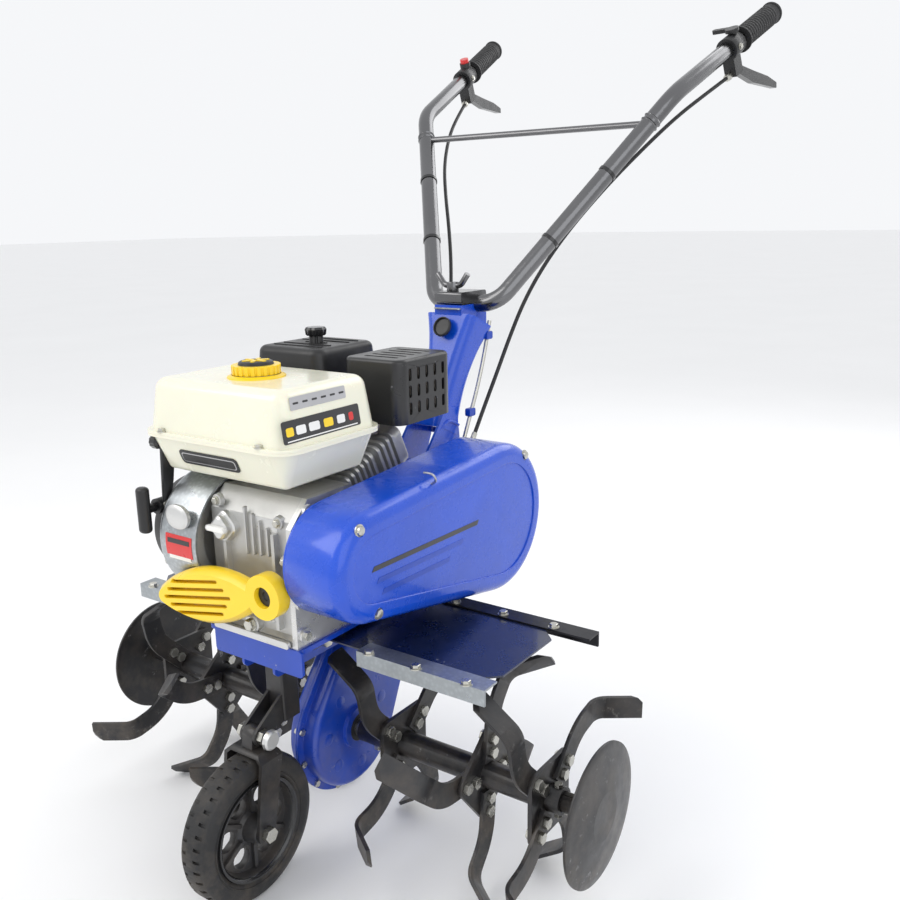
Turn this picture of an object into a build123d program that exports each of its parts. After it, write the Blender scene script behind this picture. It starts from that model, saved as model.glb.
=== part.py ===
from build123d import *
import os
from math import asin, atan2, cos, degrees, hypot, pi, radians, sin, tan

# A petrol mini cultivator: a small engine drives a belt, the belt a chain in a leaning case, and the
# chain an axle of tines under two fenders. A front wheel carries it, and a handlebar steers it.
# +Z is up, the machine travels towards -Y, and +X is the side of the belt cover.
# Heights are above the ground. Distances fore and aft are taken from the tine axle.

os.makedirs("parts", exist_ok=True)

# ---------------------------------------------------------------- driving dimensions (mm, degrees)
FRONT_REACH = 280.0  # tine axle to the front of the wheel
REAR_REACH = 869.8  # tine axle to the rearmost lever tip
AXLE_Y = (FRONT_REACH - REAR_REACH) / 2  # puts the origin under the middle of the machine
AXLE_Z = 150.8  # height of the tine axle when the machine stands on its tines and wheel

FIT = 0.2  # gap round a piece that is bolted or slid into its seat
RUN = 0.05  # radial clearance of a shaft or pin that turns
GAP = 0.5  # air between neighbours that move past each other

# chain case and its shafts
INPUT_Y, INPUT_Z = 165.0, 428.0
CASE_LOW_RADIUS = 85.0
CASE_TOP_RADIUS = 52.0
CASE_HALF = 24.0
CASE_WALL = 3.0
CASE_FLANGE = 10.0
CASE_FLANGE_THICK = 3.0
BOSS_REACH = 30.0
AXLE_RADIUS = 12.5
INPUT_RADIUS = 8.5
AXLE_BEARING = (26.0, 15.0)  # outer radius, width
INPUT_BEARING = (20.0, 12.0)
SEAL_WIDTH = 6.0
CHAIN_PITCH = 12.7
ROLLER_RADIUS = 4.0
LOW_TEETH = 31
TOP_TEETH = 9
TOOTH_HALF = 4.0

# belt drive and its cover
CRANK_Y, CRANK_Z = -88.0, 440.0
CRANK_RADIUS = 10.0
BELT_X = 114.0
DRIVE_RADIUS = 30.0
DRIVEN_RADIUS = 80.0
PULLEY_HALF = 10.0
BELT_DEPTH = 8.0
COVER_X = 85.2
COVER_DEPTH = 80.0
COVER_WALL = 2.5
COVER_FRONT = (-112.0, 446.0, 67.0)  # y, z, radius of the front lobe
COVER_REAR = (165.0, 428.0, 103.0)
COVER_EDGE = 16.0
GUARD_X = 83.0
GUARD_THICK = 2.0
IDLER_PIVOT = (75.0, 462.0)
IDLER_RADIUS = 13.0

# tines and side discs
TINE_RADIUS = 160.0
TINE_SETS = (105.0, 235.0, 325.0)  # distance of each set from the middle of the machine
TINE_TURN = (44.6, 83.6, 44.6)  # how far each set is turned about the axle
BLADES = 4
BLADE_WIDTH = 30.0
BLADE_THICK = 5.0
HUB_RADIUS = 17.0
HUB_START = 38.0
HUB_END = 346.0
HUB_PLATE = 92.0
HUB_PLATE_THICK = 6.0
DISC_X = 397.0
DISC_THICK = 3.0
DISC_RADIUS = 86.0

# frame, fenders and front wheel
PLATE_Z = 328.0
PLATE_THICK = 6.0
RAIL_X = 24.5
RAIL_THICK = 4.0
RAIL_DEPTH = 40.0
FENDER_IN = RAIL_X + RAIL_THICK + FIT
FENDER_Z = 319.0
FENDER_THICK = 2.5
FENDER_OUT = 292.0
FENDER_FRONT, FENDER_REAR = -84.0, 100.0
STRIP_WIDTH = 19.0
WHEEL_Y = -185.0
WHEEL_RADIUS = 95.0
WHEEL_WIDTH = 44.0
RIM_RADIUS = 66.0
PIN_RADIUS = 5.0
FORK_PIVOT = (-165.0, 212.0)
POST_Y = -112.0
POST_SIDE = 30.0

# engine
BASE_Z = PLATE_Z + PLATE_THICK
TANK_BACK, TANK_FRONT = 17.0, -165.0
TANK_LEFT, TANK_RIGHT = -170.0, 82.0
SEAM_Z = 577.0
TANK_TOP = 645.0
TANK_BOTTOM = 528.0
TANK_WALL = 2.5
CYL_TILT = 25.0

# column and handlebar
COLUMN_FOOT = (230.0, 522.0)
COLUMN_HEAD = (302.0, 678.0)
BAR_RADIUS = 13.0
BAR_WALL = 2.0
BAR_PIVOT = (318.0, 703.0)
BAR_CORNER_X = 56.0
BAR_BEND = (232.0, 545.0, 1003.0)
BAR_END = (277.0, 842.0, 1152.0)
CROSS_BAR = (206.0, 511.0, 960.0)
GRIP_LENGTH = 118.0
GRIP_RADIUS = 17.0
LEVER_BACK = 152.0  # lever pivot, measured from the end of the bar
LEVER_DROP = 36.0
LEVER_LENGTH = 146.0
LEVER_OPEN = 31.0
CABLE_RADIUS = 3.0


# ---------------------------------------------------------------- planes and small helpers
def side(x):
    """Plane across the machine at x. Its own x is fore and aft, and its own y is height."""
    return Plane(origin=(x, AXLE_Y, 0), x_dir=(0, 1, 0), z_dir=(1, 0, 0))


def front(y):
    """Plane facing the front of the machine. Its own x is across, and its own y is height."""
    return Plane(origin=(0, AXLE_Y + y, 0), x_dir=(1, 0, 0), z_dir=(0, -1, 0))


def top(z):
    """Level plane at height z."""
    return Plane(origin=(0, AXLE_Y, z), x_dir=(1, 0, 0), z_dir=(0, 0, 1))


def at(x, y, z):
    """Point given from the tine axle fore and aft, and from the ground up."""
    return (x, AXLE_Y + y, z)


def turning(y, z):
    """Plane for the half profile of a round piece on a cross shaft: its own y is the radius."""
    return Plane(origin=at(0, y, z), x_dir=(1, 0, 0), z_dir=(0, -1, 0))


def shaft_line(y, z):
    """Line of a cross shaft."""
    return Axis(at(0, y, z), (1, 0, 0))


def ring_profile(start, end, inner, outer):
    """Corners of the half profile of a plain ring on a shaft."""
    return [(start, inner), (end, inner), (end, outer), (start, outer)]


def taut_area(*discs, grow=0.0):
    """Area inside a taut band round (y, z, radius) discs."""
    with BuildSketch(Plane.XY) as area:
        for y, z, radius in discs:
            with Locations((y, z)):
                Circle(radius + grow)
        make_hull()
    return area.sketch_local


def case_area(grow=0.0):
    """Side outline of the chain case."""
    low = (0, AXLE_Z, CASE_LOW_RADIUS)
    high = (INPUT_Y, INPUT_Z, CASE_TOP_RADIUS)
    return taut_area(low, high, grow=grow)


def pitch_radius(teeth):
    """Pitch radius of a chain sprocket."""
    return CHAIN_PITCH / (2 * sin(pi / teeth))


def band_point(low, high, share, hand, reach):
    """Point a share of the way along one straight side of the band round two discs."""
    span = hypot(high[0] - low[0], high[1] - low[1])
    along = atan2(high[1] - low[1], high[0] - low[0])
    lean = along + hand * (pi / 2 + asin((high[2] - low[2]) / span))
    radius = low[2] + (high[2] - low[2]) * share + reach
    y = low[0] + (high[0] - low[0]) * share + radius * cos(lean)
    z = low[1] + (high[1] - low[1]) * share + radius * sin(lean)
    return (y, z)


# ---------------------------------------------------------------- chain case
LOW_DISC = (0.0, AXLE_Z, CASE_LOW_RADIUS)
HIGH_DISC = (INPUT_Y, INPUT_Z, CASE_TOP_RADIUS)
CASE_LEAN = degrees(atan2(INPUT_Z - AXLE_Z, INPUT_Y))
FLANGE_BOLTS = [
    (
        (CASE_LOW_RADIUS + CASE_FLANGE / 2) * cos(radians(CASE_LEAN + angle)),
        AXLE_Z + (CASE_LOW_RADIUS + CASE_FLANGE / 2) * sin(radians(CASE_LEAN + angle)),
    )
    for angle in (105, 135, 165, 195, 225, 255)
]
FLANGE_BOLTS += [
    (
        INPUT_Y + (CASE_TOP_RADIUS + CASE_FLANGE / 2) * cos(radians(CASE_LEAN + angle)),
        INPUT_Z + (CASE_TOP_RADIUS + CASE_FLANGE / 2) * sin(radians(CASE_LEAN + angle)),
    )
    for angle in (-60, 0, 60)
]
FLANGE_BOLTS += [band_point(LOW_DISC, HIGH_DISC, 0.5, hand, CASE_FLANGE / 2) for hand in (1, -1)]
RAIL_BOLTS = [(-62.0, 306.0), (60.0, 306.0), (98.0, 306.0)]
LEG_BOLTS = [(147.0, 398.0), (192.0, 455.0)]
FLANGE_BOLT_RADIUS = 2.5
RAIL_BOLT_RADIUS = 5.0

for hand, name in ((1, "left"), (-1, "right")):
    with BuildPart() as chain_case:
        with BuildSketch(side(0)):
            add(case_area())
        extrude(amount=hand * CASE_HALF)
        fillet(chain_case.faces().sort_by(Axis.X)[-1 if hand > 0 else 0].edges(), radius=8)
        with BuildSketch(side(0)):
            add(case_area(CASE_FLANGE))
        extrude(amount=hand * CASE_FLANGE_THICK)
        with BuildSketch(side(0)):
            add(case_area(-CASE_WALL))
        extrude(amount=hand * (CASE_HALF - CASE_WALL), mode=Mode.SUBTRACT)
        with BuildSketch(side(hand * 7)):
            with Locations((0, AXLE_Z)):
                Circle(AXLE_BEARING[0] + 4)
            with Locations((INPUT_Y, INPUT_Z)):
                Circle(INPUT_BEARING[0] + 4)
        extrude(amount=hand * (BOSS_REACH - 7))
        for y, z, bearing, shaft, start in (
            (0, AXLE_Z, AXLE_BEARING, AXLE_RADIUS, 7.0),
            (INPUT_Y, INPUT_Z, INPUT_BEARING, INPUT_RADIUS, 10.0),
        ):
            with BuildSketch(side(0)):
                with Locations((y, z)):
                    Circle(bearing[0])
            extrude(amount=hand * (start + bearing[1]), mode=Mode.SUBTRACT)
            with BuildSketch(side(0)):
                with Locations((y, z)):
                    Circle(shaft + 7.5)
            extrude(amount=hand * (BOSS_REACH + 1), mode=Mode.SUBTRACT)
        with BuildSketch(side(0)):
            with Locations(*FLANGE_BOLTS):
                Circle(FLANGE_BOLT_RADIUS + FIT)
        extrude(amount=hand * CASE_FLANGE_THICK, mode=Mode.SUBTRACT)
        with BuildSketch(side(0)):
            with Locations(*RAIL_BOLTS, *LEG_BOLTS):
                Circle(RAIL_BOLT_RADIUS + FIT)
        extrude(amount=hand * CASE_HALF, mode=Mode.SUBTRACT)
    chain_case.part.label = f"chain_case_{name}"
    export_step(chain_case.part, f"parts/chain_case_{name}.step")

# The output shaft carries the tine hubs on its two ends.
HUB_BOLT_X = 62.0
HUB_BOLT_RADIUS = 4.0
SHAFT_END = 130.0
with BuildPart() as output_shaft:
    with BuildSketch(turning(0, AXLE_Z)):
        Polygon(*ring_profile(-SHAFT_END, SHAFT_END, 0, AXLE_RADIUS), align=None)
    revolve(axis=shaft_line(0, AXLE_Z))
    chamfer(output_shaft.edges().filter_by(GeomType.CIRCLE), length=1.5)
    with BuildSketch(top(AXLE_Z)):
        with Locations((HUB_BOLT_X, 0), (-HUB_BOLT_X, 0)):
            Circle(HUB_BOLT_RADIUS + FIT)
    extrude(amount=AXLE_RADIUS + 1, both=True, mode=Mode.SUBTRACT)
output_shaft.part.label = "output_shaft"
export_step(output_shaft.part, "parts/output_shaft.step")

LOW_PITCH = pitch_radius(LOW_TEETH)
TOP_PITCH = pitch_radius(TOP_TEETH)
with BuildPart() as output_sprocket:
    with BuildSketch(side(-TOOTH_HALF)):
        with Locations((0, AXLE_Z)):
            Circle(LOW_PITCH + ROLLER_RADIUS * 0.8)
            with PolarLocations(LOW_PITCH, LOW_TEETH):
                Circle(ROLLER_RADIUS + 0.1, mode=Mode.SUBTRACT)
            with PolarLocations(LOW_PITCH * 0.6, 6):
                Circle(LOW_PITCH * 0.16, mode=Mode.SUBTRACT)
    extrude(amount=2 * TOOTH_HALF)
    with BuildSketch(side(-6)):
        with Locations((0, AXLE_Z)):
            Circle(22)
    extrude(amount=12)
    with BuildSketch(side(-7)):
        with Locations((0, AXLE_Z)):
            Circle(AXLE_RADIUS)
    extrude(amount=14, mode=Mode.SUBTRACT)
output_sprocket.part.label = "output_sprocket"
export_step(output_sprocket.part, "parts/output_sprocket.step")

INPUT_END = 127.0
with BuildPart() as input_shaft:
    with BuildSketch(turning(INPUT_Y, INPUT_Z)):
        Polygon(*ring_profile(-22, INPUT_END, 0, INPUT_RADIUS), align=None)
    revolve(axis=shaft_line(INPUT_Y, INPUT_Z))
    with BuildSketch(side(-9)):
        with Locations((INPUT_Y, INPUT_Z)):
            Circle(11.5)
    extrude(amount=18)
    with BuildSketch(side(-TOOTH_HALF)):
        with Locations((INPUT_Y, INPUT_Z)):
            Circle(TOP_PITCH + ROLLER_RADIUS * 0.8)
            with PolarLocations(TOP_PITCH, TOP_TEETH):
                Circle(ROLLER_RADIUS + 0.1, mode=Mode.SUBTRACT)
    extrude(amount=2 * TOOTH_HALF)
input_shaft.part.label = "input_shaft"
export_step(input_shaft.part, "parts/input_shaft.step")

# The chain is two loops of side plates, joined by rollers along its two straight runs.
CHAIN_LOW = (0.0, AXLE_Z, LOW_PITCH)
CHAIN_TOP = (INPUT_Y, INPUT_Z, TOP_PITCH)
with BuildPart() as drive_chain:
    for x in (TOOTH_HALF + 0.4, -TOOTH_HALF - 2.4):
        with BuildSketch(side(x)):
            add(taut_area(CHAIN_LOW, CHAIN_TOP, grow=5.5))
            add(taut_area(CHAIN_LOW, CHAIN_TOP, grow=-5.5), mode=Mode.SUBTRACT)
        extrude(amount=2)
    with BuildSketch(side(-TOOTH_HALF - 1)):
        for hand in (1, -1):
            for step in range(11):
                with Locations(band_point(CHAIN_LOW, CHAIN_TOP, 0.26 + 0.05 * step, hand, 0)):
                    Circle(ROLLER_RADIUS)
    extrude(amount=2 * TOOTH_HALF + 2)
drive_chain.part.label = "drive_chain"
export_step(drive_chain.part, "parts/drive_chain.step")

with BuildPart() as shaft_bearings:
    for y, z, bearing, shaft, start in (
        (0, AXLE_Z, AXLE_BEARING, AXLE_RADIUS, 7.0),
        (INPUT_Y, INPUT_Z, INPUT_BEARING, INPUT_RADIUS, 10.0),
    ):
        for hand in (1, -1):
            with BuildSketch(side(hand * start)):
                with Locations((y, z)):
                    Circle(bearing[0])
                    Circle(shaft + RUN, mode=Mode.SUBTRACT)
            extrude(amount=hand * bearing[1])
shaft_bearings.part.label = "shaft_bearings"
export_step(shaft_bearings.part, "parts/shaft_bearings.step")

with BuildPart() as oil_seals:
    for hand in (1, -1):
        with BuildSketch(side(hand * (BOSS_REACH - 0.5))):
            with Locations((0, AXLE_Z)):
                Circle(AXLE_RADIUS + 7.5)
                Circle(AXLE_RADIUS + RUN, mode=Mode.SUBTRACT)
        extrude(amount=-hand * SEAL_WIDTH)
    with BuildSketch(side(BOSS_REACH - 0.5)):
        with Locations((INPUT_Y, INPUT_Z)):
            Circle(INPUT_RADIUS + 7.5)
            Circle(INPUT_RADIUS + RUN, mode=Mode.SUBTRACT)
    extrude(amount=-SEAL_WIDTH)
    with BuildSketch(side(-BOSS_REACH + 0.5)):
        with Locations((INPUT_Y, INPUT_Z)):
            Circle(INPUT_RADIUS + 7.5)
    extrude(amount=SEAL_WIDTH)
oil_seals.part.label = "oil_seals"
export_step(oil_seals.part, "parts/oil_seals.step")


# ---------------------------------------------------------------- belt drive
for name, y, z, bore, radius in (
    ("drive_pulley", CRANK_Y, CRANK_Z, CRANK_RADIUS, DRIVE_RADIUS),
    ("driven_pulley", INPUT_Y, INPUT_Z, INPUT_RADIUS, DRIVEN_RADIUS),
):
    with BuildPart() as pulley:
        left, right = BELT_X - PULLEY_HALF, BELT_X + PULLEY_HALF
        with BuildSketch(turning(y, z)):
            Polygon(
                (left, bore),
                (left, radius),
                (BELT_X - 7.5, radius),
                (BELT_X - 4.8, radius - 12),
                (BELT_X + 4.8, radius - 12),
                (BELT_X + 7.5, radius),
                (right, radius),
                (right, bore),
                align=None,
            )
        revolve(axis=shaft_line(y, z))
        if radius > 60:
            with BuildSketch(side(left)):
                with Locations((y, z)):
                    with PolarLocations(42, 5):
                        Circle(15)
            extrude(amount=2 * PULLEY_HALF, mode=Mode.SUBTRACT)
    pulley.part.label = name
    export_step(pulley.part, f"parts/{name}.step")

BELT_DRIVE = (CRANK_Y, CRANK_Z, DRIVE_RADIUS)
BELT_DRIVEN = (INPUT_Y, INPUT_Z, DRIVEN_RADIUS)
BELT_BACK = -1.0  # outer face of the belt, from the rim of a pulley
with BuildPart() as drive_belt:
    for half, outer, inner in ((6.0, BELT_BACK, -5.0), (4.8, -5.0, BELT_BACK - BELT_DEPTH)):
        with BuildSketch(side(BELT_X - half)):
            add(taut_area(BELT_DRIVE, BELT_DRIVEN, grow=outer))
            add(taut_area(BELT_DRIVE, BELT_DRIVEN, grow=inner), mode=Mode.SUBTRACT)
        extrude(amount=2 * half)
drive_belt.part.label = "drive_belt"
export_step(drive_belt.part, "parts/drive_belt.step")

# The idler lies just off the back of the belt's upper run, and pulls it tight when it drops.
IDLER_AT = band_point(BELT_DRIVE, BELT_DRIVEN, 0.42, 1, BELT_BACK + IDLER_RADIUS + GAP)
ARM_X = 95.0
ARM_THICK = 5.0
with BuildPart() as idler_arm:
    with BuildSketch(side(ARM_X)):
        add(taut_area((*IDLER_PIVOT, 12), (*IDLER_AT, 9)))
        with Locations(IDLER_PIVOT):
            Circle(PIN_RADIUS + RUN, mode=Mode.SUBTRACT)
    extrude(amount=ARM_THICK)
    with BuildSketch(side(ARM_X)):
        add(taut_area((*IDLER_PIVOT, 8), (IDLER_PIVOT[0] + 28, IDLER_PIVOT[1] - 8, 7)))
        with Locations(IDLER_PIVOT):
            Circle(PIN_RADIUS + RUN, mode=Mode.SUBTRACT)
        with Locations((IDLER_PIVOT[0] + 28, IDLER_PIVOT[1] - 8)):
            Circle(2.5, mode=Mode.SUBTRACT)
    extrude(amount=ARM_THICK)
    with BuildSketch(side(ARM_X + ARM_THICK)):
        with Locations(IDLER_AT):
            Circle(4)
    extrude(amount=24)
idler_arm.part.label = "idler_arm"
export_step(idler_arm.part, "parts/idler_arm.step")

with BuildPart() as idler_pulley:
    with BuildSketch(turning(*IDLER_AT)):
        Polygon(
            (BELT_X - 9, 4 + RUN),
            (BELT_X + 9, 4 + RUN),
            (BELT_X + 9, IDLER_RADIUS + 1.5),
            (BELT_X + 7.5, IDLER_RADIUS + 1.5),
            (BELT_X + 7.5, IDLER_RADIUS),
            (BELT_X - 7.5, IDLER_RADIUS),
            (BELT_X - 7.5, IDLER_RADIUS + 1.5),
            (BELT_X - 9, IDLER_RADIUS + 1.5),
            align=None,
        )
    revolve(axis=shaft_line(*IDLER_AT))
idler_pulley.part.label = "idler_pulley"
export_step(idler_pulley.part, "parts/idler_pulley.step")

COVER_BOLTS = [(-138.0, 498.0), (-112.0, 391.0), (217.6, 505.9)]
COVER_BOLT_RADIUS = 3.0
ENGINE_HOLE = 34.0
CASE_HOLE = 30.0
with BuildPart() as guard_backplate:
    with BuildSketch(side(GUARD_X)):
        add(taut_area(COVER_FRONT, COVER_REAR))
        with Locations((CRANK_Y, CRANK_Z)):
            Circle(ENGINE_HOLE, mode=Mode.SUBTRACT)
        with Locations((INPUT_Y, INPUT_Z)):
            Circle(CASE_HOLE, mode=Mode.SUBTRACT)
        with Locations(*COVER_BOLTS):
            Circle(COVER_BOLT_RADIUS + FIT, mode=Mode.SUBTRACT)
    extrude(amount=GUARD_THICK)
    with BuildSketch(side(GUARD_X + GUARD_THICK)):
        with Locations(IDLER_PIVOT):
            Circle(10)
    extrude(amount=ARM_X - GUARD_X - GUARD_THICK - FIT)
    with BuildSketch(side(GUARD_X + GUARD_THICK)):
        with Locations(IDLER_PIVOT):
            Circle(PIN_RADIUS)
    extrude(amount=ARM_X + ARM_THICK + 3 - GUARD_X - GUARD_THICK)
guard_backplate.part.label = "guard_backplate"
export_step(guard_backplate.part, "parts/guard_backplate.step")

with BuildPart() as belt_cover:
    with BuildSketch(side(COVER_X)):
        add(taut_area(COVER_FRONT, COVER_REAR))
    extrude(amount=COVER_DEPTH)
    fillet(belt_cover.faces().sort_by(Axis.X)[-1].edges(), radius=COVER_EDGE)
    with BuildSketch(side(COVER_X + COVER_DEPTH - 2)):
        add(taut_area(COVER_FRONT, COVER_REAR, grow=-26))
    extrude(amount=3, mode=Mode.SUBTRACT)
    fillet(belt_cover.faces().sort_by(Axis.X)[-1].edges(), radius=1.2)
    with BuildSketch(side(COVER_X)):
        add(taut_area(COVER_FRONT, COVER_REAR, grow=-COVER_WALL))
    extrude(amount=COVER_DEPTH - COVER_EDGE, mode=Mode.SUBTRACT)
    with BuildSketch(side(COVER_X)):
        add(taut_area(COVER_FRONT, COVER_REAR, grow=-COVER_WALL - 7))
    extrude(amount=COVER_DEPTH - 2 - COVER_WALL, mode=Mode.SUBTRACT)
    with BuildSketch(side(COVER_X)):
        with Locations(*COVER_BOLTS):
            Circle(COVER_BOLT_RADIUS + 3)
    extrude(amount=COVER_DEPTH - 3)
    with BuildSketch(side(COVER_X + COVER_DEPTH - 3)):
        with Locations(*COVER_BOLTS):
            Circle(COVER_BOLT_RADIUS * 2 + 1)
    extrude(amount=4, mode=Mode.SUBTRACT)
    with BuildSketch(side(COVER_X)):
        with Locations(*COVER_BOLTS):
            Circle(COVER_BOLT_RADIUS + FIT)
    extrude(amount=COVER_DEPTH + 1, mode=Mode.SUBTRACT)
belt_cover.part.label = "belt_cover"
export_step(belt_cover.part, "parts/belt_cover.step")

# ---------------------------------------------------------------- tines and side discs
PLATE_BOLTS = (30.0, 48.0)
BLADE_ROOT = HUB_RADIUS + 2.0
BLADE_BOLT_RADIUS = 4.0
for hand, name in ((1, "left"), (-1, "right")):
    with BuildPart() as tine_hub:
        with BuildSketch(turning(0, AXLE_Z)):
            start, end = sorted((hand * HUB_START, hand * HUB_END))
            Polygon(*ring_profile(start, end, AXLE_RADIUS + FIT, HUB_RADIUS), align=None)
        revolve(axis=shaft_line(0, AXLE_Z))
        for x, turn in zip(TINE_SETS, TINE_TURN):
            with BuildSketch(side(hand * x - HUB_PLATE_THICK / 2)):
                with Locations(Location((0, AXLE_Z), turn + 45)):
                    RectangleRounded(HUB_PLATE, HUB_PLATE, 12)
                with Locations((0, AXLE_Z)):
                    Circle(AXLE_RADIUS + FIT, mode=Mode.SUBTRACT)
                    for radius in PLATE_BOLTS:
                        with PolarLocations(radius, BLADES, start_angle=turn):
                            Circle(BLADE_BOLT_RADIUS + FIT, mode=Mode.SUBTRACT)
            extrude(amount=HUB_PLATE_THICK)
        with BuildSketch(top(AXLE_Z)):
            with Locations((hand * HUB_BOLT_X, 0)):
                Circle(HUB_BOLT_RADIUS + FIT)
        extrude(amount=HUB_RADIUS + 1, both=True, mode=Mode.SUBTRACT)
        with BuildSketch(top(AXLE_Z)):
            with Locations((hand * (HUB_END - 8), 0)):
                Circle(3 + FIT)
        extrude(amount=HUB_RADIUS + 1, both=True, mode=Mode.SUBTRACT)
    tine_hub.part.label = f"tine_hub_{name}"
    export_step(tine_hub.part, f"parts/tine_hub_{name}.step")

    # Each blade is a flat bar that sweeps back from the hub plate and turns sideways at its tip.
    with BuildPart() as tine_blades:
        for x, turn in zip(TINE_SETS, TINE_TURN):
            for number in range(BLADES):
                angle = radians(turn + number * 360 / BLADES)
                out = hand * (1 if number % 2 == 0 else -1)
                face = hand * x + out * (HUB_PLATE_THICK + BLADE_THICK) / 2
                route = []
                for away, reach, back in (
                    (0, BLADE_ROOT, 0),
                    (0, 86, 0),
                    (0, 126, -28),
                    (50, 150, -52),
                ):
                    y = reach * cos(angle) - back * sin(angle)
                    z = AXLE_Z + reach * sin(angle) + back * cos(angle)
                    route.append(at(face + out * away, y, z))
                with BuildLine() as blade_line:
                    FilletPolyline(*route, radius=(70, 24))
                foot = Plane(
                    origin=route[0],
                    x_dir=(1, 0, 0),
                    z_dir=(0, cos(angle), sin(angle)),
                )
                with BuildSketch(foot):
                    Rectangle(BLADE_THICK, BLADE_WIDTH)
                sweep(path=blade_line.line)
                with BuildSketch(side(face - BLADE_THICK)):
                    for radius in PLATE_BOLTS:
                        with Locations((radius * cos(angle), AXLE_Z + radius * sin(angle))):
                            Circle(BLADE_BOLT_RADIUS + FIT)
                extrude(amount=2 * BLADE_THICK, mode=Mode.SUBTRACT)
        with BuildSketch(side(0)):
            with Locations((0, AXLE_Z)):
                Circle(TINE_RADIUS)
        extrude(amount=hand * DISC_X, mode=Mode.INTERSECT)
    tine_blades.part.label = f"tine_blades_{name}"
    export_step(tine_blades.part, f"parts/tine_blades_{name}.step")

    with BuildPart() as side_disc:
        with BuildSketch(turning(0, AXLE_Z)):
            outer = DISC_X + DISC_THICK
            Polygon(
                (hand * (HUB_END - 60), 0),
                (hand * outer, 0),
                (hand * outer, 30),
                (hand * (outer - 7), DISC_RADIUS),
                (hand * (outer - 7 - DISC_THICK), DISC_RADIUS),
                (hand * DISC_X, 30),
                (hand * DISC_X, AXLE_RADIUS),
                (hand * (HUB_END - 60), AXLE_RADIUS),
                align=None,
            )
        revolve(axis=shaft_line(0, AXLE_Z))
        with BuildSketch(top(AXLE_Z)):
            with Locations((hand * (HUB_END - 8), 0)):
                Circle(3 + FIT)
        extrude(amount=HUB_RADIUS, both=True, mode=Mode.SUBTRACT)
    side_disc.part.label = f"side_disc_{name}"
    export_step(side_disc.part, f"parts/side_disc_{name}.step")

with BuildPart() as tine_fasteners:
    for hand in (1, -1):
        for x, turn in zip(TINE_SETS, TINE_TURN):
            for number in range(BLADES):
                angle = radians(turn + number * 360 / BLADES)
                out = hand * (1 if number % 2 == 0 else -1)
                blade_face = hand * x + out * (HUB_PLATE_THICK / 2 + BLADE_THICK)
                plate_face = hand * x - out * HUB_PLATE_THICK / 2
                places = [
                    (radius * cos(angle), AXLE_Z + radius * sin(angle)) for radius in PLATE_BOLTS
                ]
                with BuildSketch(side(blade_face)):
                    with Locations(*places):
                        Circle(BLADE_BOLT_RADIUS)
                extrude(amount=plate_face - blade_face, clean=False)
                with BuildSketch(side(blade_face)):
                    with Locations(*places):
                        RegularPolygon(7.5, 6)
                extrude(amount=out * 5, clean=False)
                with BuildSketch(side(plate_face)):
                    with Locations(*places):
                        RegularPolygon(7.5, 6)
                extrude(amount=-out * 6, clean=False)
        for x, radius, head in ((HUB_BOLT_X, HUB_BOLT_RADIUS, 7.0), (HUB_END - 8, 3.0, 5.5)):
            with BuildSketch(top(AXLE_Z - HUB_RADIUS)):
                with Locations((hand * x, 0)):
                    Circle(radius)
            extrude(amount=2 * HUB_RADIUS, clean=False)
            with BuildSketch(top(AXLE_Z + HUB_RADIUS)):
                with Locations((hand * x, 0)):
                    RegularPolygon(head, 6)
            extrude(amount=5, clean=False)
            with BuildSketch(top(AXLE_Z - HUB_RADIUS)):
                with Locations((hand * x, 0)):
                    RegularPolygon(head, 6)
            extrude(amount=-6, clean=False)
tine_fasteners.part.label = "tine_fasteners"
export_step(tine_fasteners.part, "parts/tine_fasteners.step")

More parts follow.
